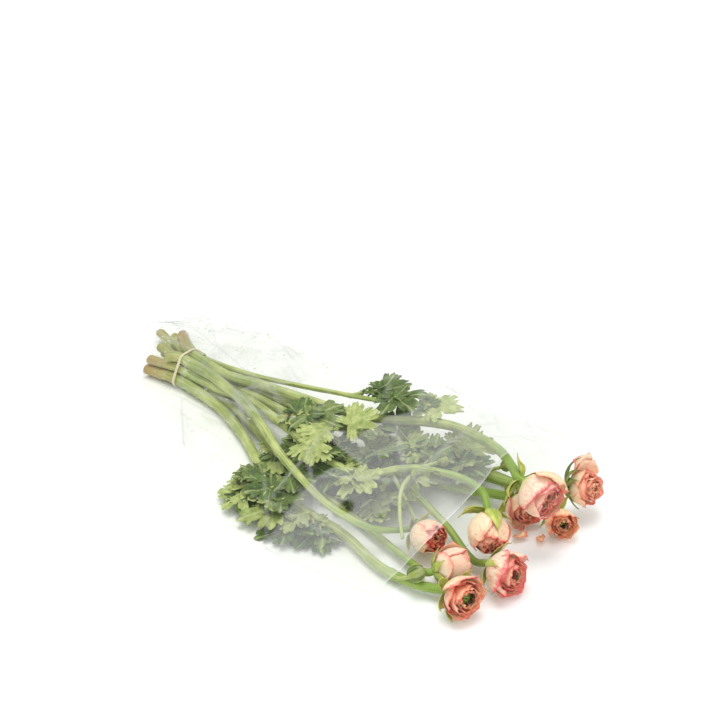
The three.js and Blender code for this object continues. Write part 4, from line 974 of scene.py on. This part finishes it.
def blade_part(foot, heading, size, level, own, wave, seed, fine=180, droop=0.0, tone=None, tilt=(0, 0)):
    """Blade: place = foot + share x far(direction) x size along each direction. Height is a parabola through
    the draped heights at the foot, half way and the rim, plus folds along the lobes and soft crumples. The
    tilt leans the whole blade, lengthwise and sideways."""
    draw = np.random.default_rng([seed, 9])
    coarse = []
    for part in (0.5, 1.0):
        long = part * LEAF_FAR * size
        turn = heading + LEAF_ANGLES
        rim = foot + np.column_stack([long * np.cos(turn), long * np.sin(turn), wave * part])
        coarse.append(clear_of_stems(rim, own, level, 0.45))
    around = np.linspace(-math.pi, math.pi, fine, endpoint=False)
    half, full = (np.interp(around, LEAF_ANGLES, heights, period=FULL) for heights in coarse)
    for _ in range(3):
        half, full = evened(half), evened(full)
    off = (around[:, None] - LOBES + math.pi) % FULL - math.pi
    nearest = np.abs(off).argmin(1)
    off = off[np.arange(len(around)), nearest]
    far = LOBE_TIPS[nearest] * (1 - 0.46 * np.clip(np.abs(off) / math.radians(30), 0, 1) ** 2.6)
    far = 0.12 + (far - 0.12) * ease((math.pi - np.abs(around)) / math.radians(52))
    far = evened(far)
    lobe = np.abs((np.degrees(off) / 18 + draw.uniform(-0.1, 0.1) + 0.5) % 1 - 0.5) * 2
    tooth = np.abs((np.degrees(off) / 9 + draw.uniform()) % 1 - 0.5) * 2
    outer = np.clip(far * 2.2 - 0.4, 0, 1)
    far = far * (1.06 - outer * (0.24 * lobe**3 + 0.06 * tooth) + 0.09 * np.sin(3 * around + seed))
    share = BLADE_SHARES
    rib = np.clip(np.abs(off) / math.radians(27), 0, 1)
    height = foot[2] * (1 - share) * (1 - 2 * share) + half * 4 * share * (1 - share)
    height = height + full * share * (2 * share - 1)
    long = share * far * size
    ahead, beside = long * np.cos(around), long * np.sin(around)
    x, y = foot[0] + long * np.cos(heading + around), foot[1] + long * np.sin(heading + around)
    flat = np.stack([x, y, np.zeros_like(x)], -1)
    height = height + TROUGH * size * share * (rib**1.4 - 0.35) + 1.3 * share * waves(flat, 12, seed)
    height += 0.6 * share**2 * waves(flat, 5, seed + 1) + droop * size * share**2.5
    height += tilt[0] * ahead + tilt[1] * beside
    points = np.stack([x, y, height], -1).reshape(-1, 3)
    points[:, 2] = clear_of_stems(points, own, level, 0.3, 0.0)
    points = under_film(points.reshape(x.shape + (3,)))
    skin = np.stack([ahead, beside, np.full_like(long, seed * 17.0)], -1)
    tone = draw.uniform(-0.35, 0.35) + 0.9 * (draw.uniform() < 0.3) if tone is None else tone
    return grid_part(points, closed=True, skin=skin, rib=rib[None], share=share, gold=0.0, fresh=0.0,
                     tone=tone)


def leaf_parts(number, index, spec):
    """Stalk and five leaflets: the CAD model's own blade at the end, and two smaller pairs along the stalk.
    The side shoot's pairs are smaller still."""
    from_x, to, size = spec
    start, middle = stem_at(number, from_x), np.array(to, float)
    heading = math.atan2(middle[1] - start[1], middle[0] - start[0])
    way = np.array([math.cos(heading), math.sin(heading), 0])
    base = middle - way * size * 0.3
    halfway = (start + base) / 2 + np.array([0, 0, 1.5])
    line = curve_through([start, halfway, base], 9)
    line[1:, 2] = clear_of_stems(line[1:], number, to[2], STALK)
    stalk = curve_through(line, 2)
    seed = number * 20 + index
    draw = np.random.default_rng([seed, 3])
    radii = np.linspace(1.9, 1.0, len(stalk))
    yellowed = draw.uniform()
    tubes = [tube_part(stalk, radii, 10, seed=seed, tone=yellowed, lively=-1.2 * yellowed)]
    wave = np.array([3 * (next(chance[number]) - 0.4) for _ in LEAF_ANGLES])
    blades = [blade_part(line[-1], heading, size, to[2], number, wave, seed, droop=draw.uniform(-0.08, 0.06),
                         tilt=(draw.uniform(-0.05, 0.2), draw.uniform(-0.35, 0.35)))]
    shrinks = (0.42, 0.34) if number == SHOOT else (0.62, 0.5)
    for pair, (along, shrink) in enumerate(zip((0.8, 0.5), shrinks)):
        for side in (-1, 1):
            foot = stalk[int(len(stalk) * along * draw.uniform(0.85, 1.1))].copy()
            turned = heading + side * draw.uniform(0.75, 1.3)
            own_wave = 3 * draw.uniform(-0.4, 0.6, len(LEAF_ANGLES))
            own_size = size * shrink * draw.uniform(0.85, 1.15)
            blades.append(blade_part(foot, turned, own_size, to[2], number, own_wave,
                                     seed + 200 * (side + 2) + 90 * pair, fine=120,
                                     droop=draw.uniform(-0.12, 0.1),
                                     tilt=(draw.uniform(-0.1, 0.45), draw.uniform(-0.5, 0.5))))
    return tubes, blades


# %% Leaf pieces
LEAF_THICK = 0.4  # mm
# Further leaflets: foot, heading in degrees, size, tone from 0 dark to 1 pale, and tilt along and across.
MORE_LEAVES = {
    2: [((-28, 2, 44), 68, 27, 0.95, (0.3, 0.3)), ((-16, 12, 40), 20, 24, 0.2, (0.1, -0.5)),
        ((-6, 36, 34), 110, 22, 0.1, (0.5, 0.3)), ((30, 40, 30), 10, 24, 0.3, (0.5, -0.4))],
    6: [((-40, -18, 42), -150, 25, 1.0, (0.1, 0.3)), ((-34, -30, 30), 10, 26, 0.0, (0.1, -0.3)),
        ((-30, -44, 24), -60, 24, 0.0, (-0.2, 0.4)), ((-12, -38, 24), -20, 24, 0.1, (0.2, 0.5)),
        ((10, -8, 38), 30, 24, 0.2, (0.3, -0.4)), ((22, -22, 30), -40, 22, 0.4, (0.0, 0.6)),
        ((-60, -22, 22), -90, 22, 0.1, (0.1, -0.2)), ((44, 22, 34), 60, 22, 0.2, (0.4, 0.2))],
    7: [((-58, -100, 8), -165, 24, 1.0, (0.1, 0.1)), ((-30, -84, 12), -50, 25, 0.1, (0.2, 0.4)),
        ((-48, -78, 12), -110, 27, 0.0, (0.2, -0.3)), ((-62, -72, 14), -160, 22, 0.15, (0.3, 0.2)),
        ((-8, -92, 8), -70, 22, 0.8, (0.1, 0.3)), ((16, -84, 6), -50, 22, 0.4, (0.0, 0.3))],
    5: [((-40, -36, 40), -60, 23, 0.9, (0.0, 0.2)), ((-30, -40, 38), -10, 20, 0.85, (0.1, -0.3))],
    9: [((-38, -66, 22), 20, 22, 0.1, (0.1, 0.3))],
    8: [((30, -36, 16), -30, 24, 0.5, (0.0, 0.3)), ((44, -30, 18), 30, 22, 0.5, (0.2, -0.3))],
}
for number in sorted(set(LEAVES) | set(MORE_LEAVES)):
    tubes, blades = [], []
    for index, spec in enumerate(LEAVES.get(number, [])):
        stalk, leaflets = leaf_parts(number, index, spec)
        tubes += stalk
        blades += leaflets
    for index, (foot, heading, size, tone, tilt) in enumerate(MORE_LEAVES.get(number, [])):
        foot = np.array(foot, float)
        blades.append(blade_part(foot, math.radians(heading), size, foot[2], 0, np.zeros(len(LEAF_ANGLES)),
                                 number * 100 + index, fine=132, tone=tone, tilt=tilt))
        stem = stems[number]["line"]
        root = stem[np.linalg.norm(stem - foot, axis=1).argmin()]
        middle = (root + foot) / 2 + np.array([0, 0, 2.0])
        path = curve_through([root, middle, foot], 2)
        tubes.append(tube_part(path, np.linspace(1.5, 0.9, len(path)), 8, seed=index, tone=0.3))
    make_piece(f"leaf_stalks_{number}", tubes, stem_skin, [NODE[number]])
    make_piece(f"leaves_{number}", blades, leaf_skin, [NODE[number]], LEAF_THICK)
leaf_count = sum(map(len, LEAVES.values()))
print("leaves made:", leaf_count, "and further leaflets:", sum(map(len, MORE_LEAVES.values())))

# %% [markdown]
# ## Buds and hearts
# A bud is a small globe still wrapped by its sepals: here nine narrow ones, green and golden by turns,
# which give it the stripes of the photograph. In the middle of an open bloom stands the heart: a dome
# packed with green seed pods in the same golden spiral as the petals, with a ring of dark stamens round it.
# Bumps raised by a formula on one dome are lighter than seventy separate pods, and look the same at this
# size.

# %% Buds
def dome_part(centre, axis, radius, low, high, rows, columns, bumps=0.0, seeds=0, tone=0.5):
    """Part of a globe between two height angles. Bumps raise it round points set by the golden turn: each
    bump is 1 less the squared distance to its point, in parts of the spacing."""
    rise = np.linspace(math.radians(low), math.radians(high), rows)[:, None]
    turn = np.linspace(0, FULL, columns, endpoint=False)[None]
    ways = globe(rise, turn)
    high_of = np.zeros(ways.shape[:2])
    if seeds:
        k = np.arange(seeds)
        z = 1 - 1.6 * (k + 0.5) / seeds
        off = np.sqrt(1 - z * z)
        spots = np.column_stack([off * np.cos(k * GOLDEN), off * np.sin(k * GOLDEN), z])
        apart = np.linalg.norm(ways[:, :, None] - spots, axis=-1).min(-1)
        high_of = np.clip(1 - (apart / (1.9 / math.sqrt(seeds))) ** 2, 0, 1)
    local = ways * radius * (1 + bumps * high_of)[..., None]
    return grid_part(placed(local, centre, axis), closed=True, skin=local, rib=high_of, share=0.5, gold=0.0,
                     fresh=0.0, tone=tone)


ROLLED_THICK = 0.3  # mm, of the young sepals on a bud and of rolled leaves
BUD_SEPALS = 9
BUD_SEPAL = (0.0, 134, 0.42, 2.06)  # closed, bent all the way round, and long enough to meet at the tip
BUD_CORE = 0.86  # radius of the globe inside the sepals, in parts of the bud's
for number, specs in BUDS.items():
    stalks, wraps = [], []
    for index, (from_x, at, radius, points_to) in enumerate(specs):
        start, axis = stem_at(number, from_x), unit(points_to)
        base = np.array(at) - axis * radius * 0.8
        bend = (np.array(at) - axis * radius * 1.8) * 0.7 + start * 0.3
        line = curve_through([start, bend, base], 2)
        stalks.append(tube_part(line, np.linspace(1.9, 1.5, len(line)), 12, seed=index, ribs=0.05, tone=0.4))
        wraps.append(dome_part(at, points_to, radius * BUD_CORE, -90, 90, 17, 20, tone=0.15))
        for k in range(BUD_SEPALS):
            wraps.append(sepal_part(at, points_to, radius * BUD_CORE, k * GOLDEN, 0.2, BUD_SEPAL,
                                    number * 50 + index * BUD_SEPALS + k, golden=0.9 * (k % 2)))
    make_piece(f"bud_stalks_{number}", stalks, stem_skin, [NODE[number]])
    make_piece(f"buds_{number}", wraps, leaf_skin, [NODE[number]], ROLLED_THICK)
print("buds made:", sum(map(len, BUDS.values())))

# %% Hearts
heart_skin, tree = start_material("heart, green seed pods and dark stamens, waxy")
# Seed pods are waxy and light green on top, with painted shade darkening the hollows between them, and the
# stamens round them are almost black: tone is 1 on a stamen.
rib = add(tree, "ShaderNodeAttribute", attribute_name="rib").outputs["Fac"]
tone = add(tree, "ShaderNodeAttribute", attribute_name="tone").outputs["Fac"]
pods = add(tree, "ShaderNodeMix", {0: rib, 6: linear("#2b3a12"), 7: linear("#86a23a")}, **MIX_COLOUR)
both = add(tree, "ShaderNodeMix", {0: tone, 6: pods, 7: linear("#2a1a22")}, **MIX_COLOUR)
surface = add(tree, "ShaderNodeBsdfPrincipled", {"Base Color": both, "Roughness": 0.4, "IOR": 1.45})
add(tree, "ShaderNodeOutputMaterial", {"Surface": surface})
HEART_RADIUS = 0.235  # in parts of the bloom's radius, as are the distances and heights of a stamen's points
STAMENS = 34
stamen_radii = np.array([0.18, 0.2, 0.22, 0.5, 0.3])  # mm: a thread that carries a thicker anther
for number, look in LOOKS.items():
    bloom = BLOOMS[number]
    radius, size, axes = bloom["radius"], look["heart"], bloom_axes(bloom["axis"])
    foot = nod(np.array([0, 0, radius * (HEART_FLOOR + 0.03)]), number)
    middle = placed(foot, bloom["centre"], bloom["axis"])
    parts = [dome_part(middle, bloom["axis"], radius * HEART_RADIUS * size, -60, 90, 30, 48, bumps=0.14,
                       seeds=70, tone=0.0)]
    for k in range(STAMENS):
        turn = FULL * k / STAMENS
        tip = 0.30 + 0.05 * math.sin(k * 2.4)
        out, rise = np.array([(0.19, 0.0), (0.26, 0.06), (tip, 0.14), (tip, 0.2), (tip - 0.01, 0.24)]).T
        local = np.column_stack([out * math.cos(turn), out * math.sin(turn), rise]) * radius
        stamen = tube_part(middle + size * local @ axes, stamen_radii, 6, tone=1.0)
        # A mesh's parts carry the same values, so the stamen gets the dome's, and is 0 in all that it lacks.
        own = stamen["values"]
        stamen["values"] = {name: own.get(name, own["inner"]) for name in parts[0]["values"]}
        parts.append(stamen)
    make_piece(f"heart_{number}", parts, heart_skin, [NODE[number]])
print("hearts made:", len(LOOKS))


# %% [markdown]
# ## Band
# The stems are held by a thin elastic band wound twice. Its route is the outline that hugs all the stems
# where they cross its plane: for every direction the furthest stem decides how far the band lies. A torus
# would be easier, but would leave gaps that a stretched band never has.

# %% Band
def hugging(distance, corners):
    """Crossing points of lines that touch all the stems' sections, moved out by a distance."""
    sections = []
    for stem in stems.values():
        line = stem["line"]
        i = int(np.argmax((line[:, 0] >= BAND["x"]) & (np.arange(len(line)) > 0)))
        t = (BAND["x"] - line[i - 1, 0]) / (line[i, 0] - line[i - 1, 0])
        sections.append([*(line[i - 1, 1:] + t * (line[i, 1:] - line[i - 1, 1:])), stem["radii"][i]])
    y, z, r = np.array(sections).T
    turn = np.linspace(0, FULL, corners, endpoint=False)[:, None]
    far = (y * np.cos(turn) + z * np.sin(turn) + r).max(1) + distance
    turn, step, after = turn[:, 0], FULL / corners, np.roll(far, -1)
    return np.column_stack([(far * np.sin(turn + step) - after * np.sin(turn)) / math.sin(step),
                            (after * np.cos(turn) - far * np.cos(turn + step)) / math.sin(step)])


band_skin, tree = start_material("elastic band, pale natural rubber, extruded")
# Natural rubber is pale tan, a little see-through, with a dusty satin skin.
coordinates = add(tree, "ShaderNodeTexCoord").outputs["Object"]
dust = add(tree, "ShaderNodeTexNoise", {"Vector": coordinates, "Scale": 900, "Detail": 3})
rubber = add(tree, "ShaderNodeMix", {0: dust, 6: linear("#d8cba4"), 7: linear("#efe8d2")}, **MIX_COLOUR)
bump = add(tree, "ShaderNodeBump", {"Height": dust, "Strength": 0.3, "Distance": 0.0002})
surface = add(tree, "ShaderNodeBsdfPrincipled", {
    "Base Color": rubber, "Roughness": 0.55, "IOR": 1.52, "Normal": bump,
    "Subsurface Weight": 0.2, "Subsurface Radius": (1.0, 0.8, 0.5), "Subsurface Scale": 0.001})
add(tree, "ShaderNodeOutputMaterial", {"Surface": surface})
STRAND = 0.6  # radius of one strand of the band
turn = np.linspace(0, FULL, 10, endpoint=False)[:, None]
strands = []
for side in (-1, 1):
    loop = hugging(BAND["gap"] + STRAND, 72)
    ring = np.column_stack([np.full(len(loop), BAND["x"] + side * (STRAND + 0.02)), loop])
    ring[:, 0] += 0.25 * np.sin(np.linspace(0, FULL, len(loop), endpoint=False) * 2 + side)
    outward = unit(ring - ring.mean(0))
    outward[:, 0] = 0
    section = (np.cos(turn) * np.array([1.0, 0, 0]) + np.sin(turn) * outward[:, None]) * STRAND
    rounds = ring[:, None] + section
    strands.append(grid_part(np.concatenate([rounds, rounds[:1]]), closed=True))
make_piece("elastic_band", strands, band_skin, ["band"])
print("band strands:", len(strands))

# %% [markdown]
# ## Sleeve
# The sleeve is a flat tube of thin clear film, open at both ends, that drapes over the stems like a stretched
# cloth. Cloth simulation could drape it, but the CAD model already holds the draped heights, read back above:
# they are joined by smooth curves, rippled and creased. The lower film lies flat on the table. Part of the
# film carries a milky white wash with a wavy edge and four clear spots. Near the cut ends grey patches of
# painted shade lie on it, and painted light marks its folds and cut ends.

# %% Film
LONG, WIDE = 200, 150  # points along and across one side of the film
LOWEST_TOP, LOWER_FILM = 0.9, 0.4  # mm: what the upper film stays above, and the height of the lower film
CLEAR_SPOTS = [(36, -78, 6.0), (-17, -9, 6.5), (66, -68, 2.2), (20, 96, 6.0)]  # x, y and radius in mm
station = np.linspace(0, len(EDGES) - 1, LONG)
share = np.linspace(0, 1, WIDE)
heights = smooth_rows(smooth_rows(sheet_heights, station).T, share * ACROSS).T
top = np.dstack([plan_place(station[:, None] + 0 * share, share + 0 * station[:, None]), heights])


def crease_field(points, count, seed, span, reach, spread):
    """Sharp folds in seeded places: each is a short line, with a bell-shaped height across it and a slow fade
    towards its ends. Returns the sum and the strongest."""
    draw = np.random.default_rng(seed)
    total, peak = np.zeros(points.shape[:2]), np.zeros(points.shape[:2])
    for _ in range(count):
        middle = np.array([draw.uniform(*span[0]), draw.uniform(*span[1])])
        way = math.radians(draw.normal(*spread))
        length, width = draw.uniform(*reach), draw.uniform(0.9, 2.2)
        off = points[..., :2] - middle
        along = off @ np.array([math.cos(way), math.sin(way)])
        beside = off @ np.array([-math.sin(way), math.cos(way)]) + 0.0015 * along**2 * draw.uniform(-1, 1)
        bell = np.exp(-((beside / width) ** 2)) * np.exp(-((along / length) ** 4))
        total += bell * draw.uniform(-1, 1)
        peak = np.maximum(peak, bell * draw.uniform(0.3, 1))
    return total, peak


folds, fold_lines = crease_field(top, 46, 3, ((-310, -120), (-60, 110)), (18, 70), (-12, 26))
long_folds, long_lines = crease_field(top, 30, 8, ((-150, 110), (-130, 160)), (20, 80), (-30, 45))
middle_of = np.sin(math.pi * share)[None]
flat = np.dstack([top[..., :2], 0 * heights])
ripple = waves(flat, 34, 5) + 0.5 * waves(flat, 15, 6)
top[..., 2] += (1.3 * folds + 0.8 * long_folds + 0.9 * ripple) * np.clip(4 * middle_of, 0, 1)
top[..., 2] = np.maximum(top[..., 2], LOWEST_TOP)
bottom = top[:, ::-1].copy()
bottom[..., 2] = LOWER_FILM + 0.15 * ripple[:, ::-1]


def frost_at(points):
    """How milky the film is: 1 beyond a wavy line across the plan, 0 before it and in the clear spots."""
    x, y = points[..., 0], points[..., 1]
    border = -6 + 27 * np.exp(-(((y + 38) / 9) ** 2)) - 30 * np.exp(-(((y + 20) / 13) ** 2))
    border = border + 12 * np.sin((y - 20) / 14) * (y > 20)
    wash = ease((x - border) / 3.5 + 0.5)
    for sx, sy, radius in CLEAR_SPOTS:
        wash = wash * ease((np.hypot(x - sx, y - sy) - radius) / 2 + 0.5)
    return wash


loop = np.concatenate([top, bottom[:, 1:-1]], 1)
# Painted light along the folds: grey shade over the table, a paler sheen over dark stems.
crease = np.maximum(fold_lines, 0.7 * long_lines)
crease = np.concatenate([crease, 0.3 * crease[:, ::-1][:, 1:-1]], 1)
end = np.minimum(np.arange(LONG), np.arange(LONG)[::-1])[:, None]
# Painted highlight: a white line along each cut end of the film.
hem = np.exp(-(end / 0.8)) + np.zeros(loop.shape[1])
# Painted shade: grey patches near the cut ends, where the table under the film lies in soft shadow.
haze = ease(0.5 + 0.8 * waves(flat, 45, 12)) * ease(1.6 * middle_of - 0.2) * ease((-80 - top[..., 0]) / 70)
haze = np.concatenate([haze, 0.6 * haze[:, ::-1][:, 1:-1]], 1)
frost = np.concatenate([frost_at(top), 0.15 * frost_at(bottom)[:, 1:-1]], 1)

film_skin, tree = start_material("sleeve, clear polypropylene film, cast and printed with a grey-white wash")
# Cast film is clear and glossy. It takes a little of the light that passes, and shows by its reflections and
# by the pale wash. Painted light adds grey shade and a paler sheen along the folds, grey shade in patches
# near the cut ends, and a white highlight along each cut end.
coordinates = add(tree, "ShaderNodeTexCoord").outputs["Object"]
frost_value, shade_patch_value, fold_light_value, edge_highlight_value = (
    add(tree, "ShaderNodeAttribute", attribute_name=name).outputs["Fac"]
    for name in ("frost", "haze", "crease", "hem"))
ripples = add(tree, "ShaderNodeTexNoise", {"Vector": coordinates, "Scale": 55, "Detail": 4, "Roughness": 0.6})
bump = add(tree, "ShaderNodeBump", {"Height": ripples, "Strength": 0.45, "Distance": 0.002})
facing = add(tree, "ShaderNodeLayerWeight", {"Blend": 0.25, "Normal": bump}).outputs["Facing"]
glance = add(tree, "ShaderNodeMapRange", {"Value": facing, "From Min": 0.4, "To Min": 0.012, "To Max": 0.36})
washed = add(tree, "ShaderNodeMath", {0: frost_value, 1: 0.155, 2: glance}, operation="MULTIPLY_ADD")
patch_shaded = add(tree, "ShaderNodeMath", {0: shade_patch_value, 1: 0.10, 2: washed}, operation="MULTIPLY_ADD")
folded = add(tree, "ShaderNodeMath", {0: fold_light_value, 1: 0.36, 2: patch_shaded}, operation="MULTIPLY_ADD")
edge_lit = add(tree, "ShaderNodeMath", {0: edge_highlight_value, 1: 0.24, 2: folded}, operation="MULTIPLY_ADD",
             use_clamp=True)
# The grey is painted shade, along the folds and in patches near the cut ends.
grey_share = add(tree, "ShaderNodeMath", {0: fold_light_value, 1: shade_patch_value}, operation="MAXIMUM")
film_grey = add(tree, "ShaderNodeMix", {
    0: grey_share, 6: linear("#f3f3f5"), 7: linear("#acaeac")}, **MIX_COLOUR)
surface = add(tree, "ShaderNodeBsdfPrincipled", {
    "Base Color": film_grey, "Roughness": 0.2, "IOR": 1.5, "Normal": bump})
clear = add(tree, "ShaderNodeBsdfTransparent", {"Color": linear("#fcfcfa")})
blend = add(tree, "ShaderNodeMixShader", {0: edge_lit, 1: clear, 2: surface})
add(tree, "ShaderNodeOutputMaterial", {"Surface": blend})
film = grid_part(loop, closed=True, frost=frost, crease=crease, hem=hem, haze=haze)
make_piece("film", [film], film_skin, ["sleeve"])
print("film points:", loop.shape[0] * loop.shape[1])

# %% [markdown]
# ## Drops and fallen scraps
# Rinse water has left drops on the film near the cut ends. Each is a flattened half globe. Two withered
# scraps of petal lie under the third bloom. Under the film young leaves are still rolled up, in folds that
# are made as a bud's sepals are, and one more leaf stalk crosses in front.

# %% Drops
drop_skin, tree = start_material("water drop, clear and wet")
facing = add(tree, "ShaderNodeLayerWeight", {"Blend": 0.5}).outputs["Facing"]
# A drop is clear in its middle and mirrors the room near its edge. Its near-white colour, shown at a fifth or
# more everywhere, is a painted glint that makes it a light dot on the stems.
edge = add(tree, "ShaderNodeMapRange", {
    "Value": facing, "From Min": 0.2, "From Max": 0.9, "To Min": 0.22, "To Max": 0.8})
# Painted glint: the near-white base colour.
surface = add(tree, "ShaderNodeBsdfPrincipled", {
    "Base Color": linear("#e6eae6"), "Roughness": 0.05, "IOR": 1.33})
clear = add(tree, "ShaderNodeBsdfTransparent", {"Color": linear("#f4f6f4")})
blend = add(tree, "ShaderNodeMixShader", {0: edge, 1: clear, 2: surface})
add(tree, "ShaderNodeOutputMaterial", {"Surface": blend})
DROPS = 220
draw = np.random.default_rng(21)
rise = np.radians([0, 25, 50, 72, 90])[:, None]
turn = np.linspace(0, FULL, 12, endpoint=False)[None]
drops = []
for _ in range(DROPS):
    i = int(np.clip(abs(draw.normal(0, 34)) + 2, 2, LONG - 3))
    j = int(draw.uniform(0.06, 0.94) * WIDE)
    size = min(0.45 + draw.exponential(0.4), 1.5)
    dome = globe(rise, turn) * np.array([1, 1, draw.uniform(0.4, 0.7)])
    drops.append(grid_part(top[i, j] + dome * size, closed=True))
make_piece("drops", drops, drop_skin, ["sleeve"])
print("drops:", DROPS)

# %% Scraps and rolled leaves
def scrap_part(centre, size, heading, seed):
    """Crumpled oval: a disc whose height is a random field, and whose rim is waved."""
    share = np.linspace(0, 1, 8)[:, None]
    turn = np.linspace(0, FULL, 28, endpoint=False)[None]
    far = size * share * (1 + 0.15 * np.sin(3 * turn + seed) + 0.08 * np.sin(7 * turn))
    ahead, beside = far * np.cos(turn), 0.6 * far * np.sin(turn)
    x, y = spun(ahead, beside, heading)
    flat = np.stack([x, y, 0 * x], -1)
    z = np.maximum(centre[2] + 2.2 * waves(flat, 9, seed) + 0.02 * ahead**2, 0.4)
    points = np.stack([centre[0] + x, centre[1] + y, z], -1)
    skin = np.stack([ahead, beside, np.full_like(far, float(seed))], -1)
    return grid_part(points, closed=True, skin=skin, margin=0.3 * (1 - share), near=0.3, depth=0.1, up=0.3,
                     warm=0.7, blush=0.5)


scraps = [scrap_part((142, 15, 4), 6.5, 1.0, 3), scrap_part((157, 24, 3), 5.5, 2.2, 5)]
make_piece("withered_scraps", scraps, petal_skin, ["flower_3_petals"], PETAL_THICK)
FOLDS = 7  # of a rolled leaf, each bent a little less than the one before
rolled = []
for index, (at, radius) in enumerate([((69.2, -5.6, 40), 3.4), ((51, -20, 39), 3.6), ((36, -40, 37), 3.2)]):
    for k in range(FOLDS):
        bend = 150 - 6 * k
        rolled.append(sepal_part(at, (0.3, -0.5, 0.8), radius, k * GOLDEN, 0.2, (0.1, bend, 0.5, bend / 65),
                                 700 + index * 9 + k, golden=0.0))
path = curve_through([(50, -8, 38), (56, -32, 36), (70, -51, 27), (84, -64, 18)], 2)
stalk = tube_part(path, np.linspace(2.0, 1.5, len(path)), 14, seed=4, ribs=0.04, tone=0.0)
make_piece("rolled_leaves", rolled, leaf_skin, [NODE[5]], ROLLED_THICK)
make_piece("front_stalk", [stalk], stem_skin, [NODE[5]])
print("scraps:", len(scraps), "rolled folds:", len(rolled))

# %% Boxes
low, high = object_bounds()
growth = (high - low) - (cad_high - cad_low)
print("grown, mm:", [round(value * 1000, 1) for value in growth])
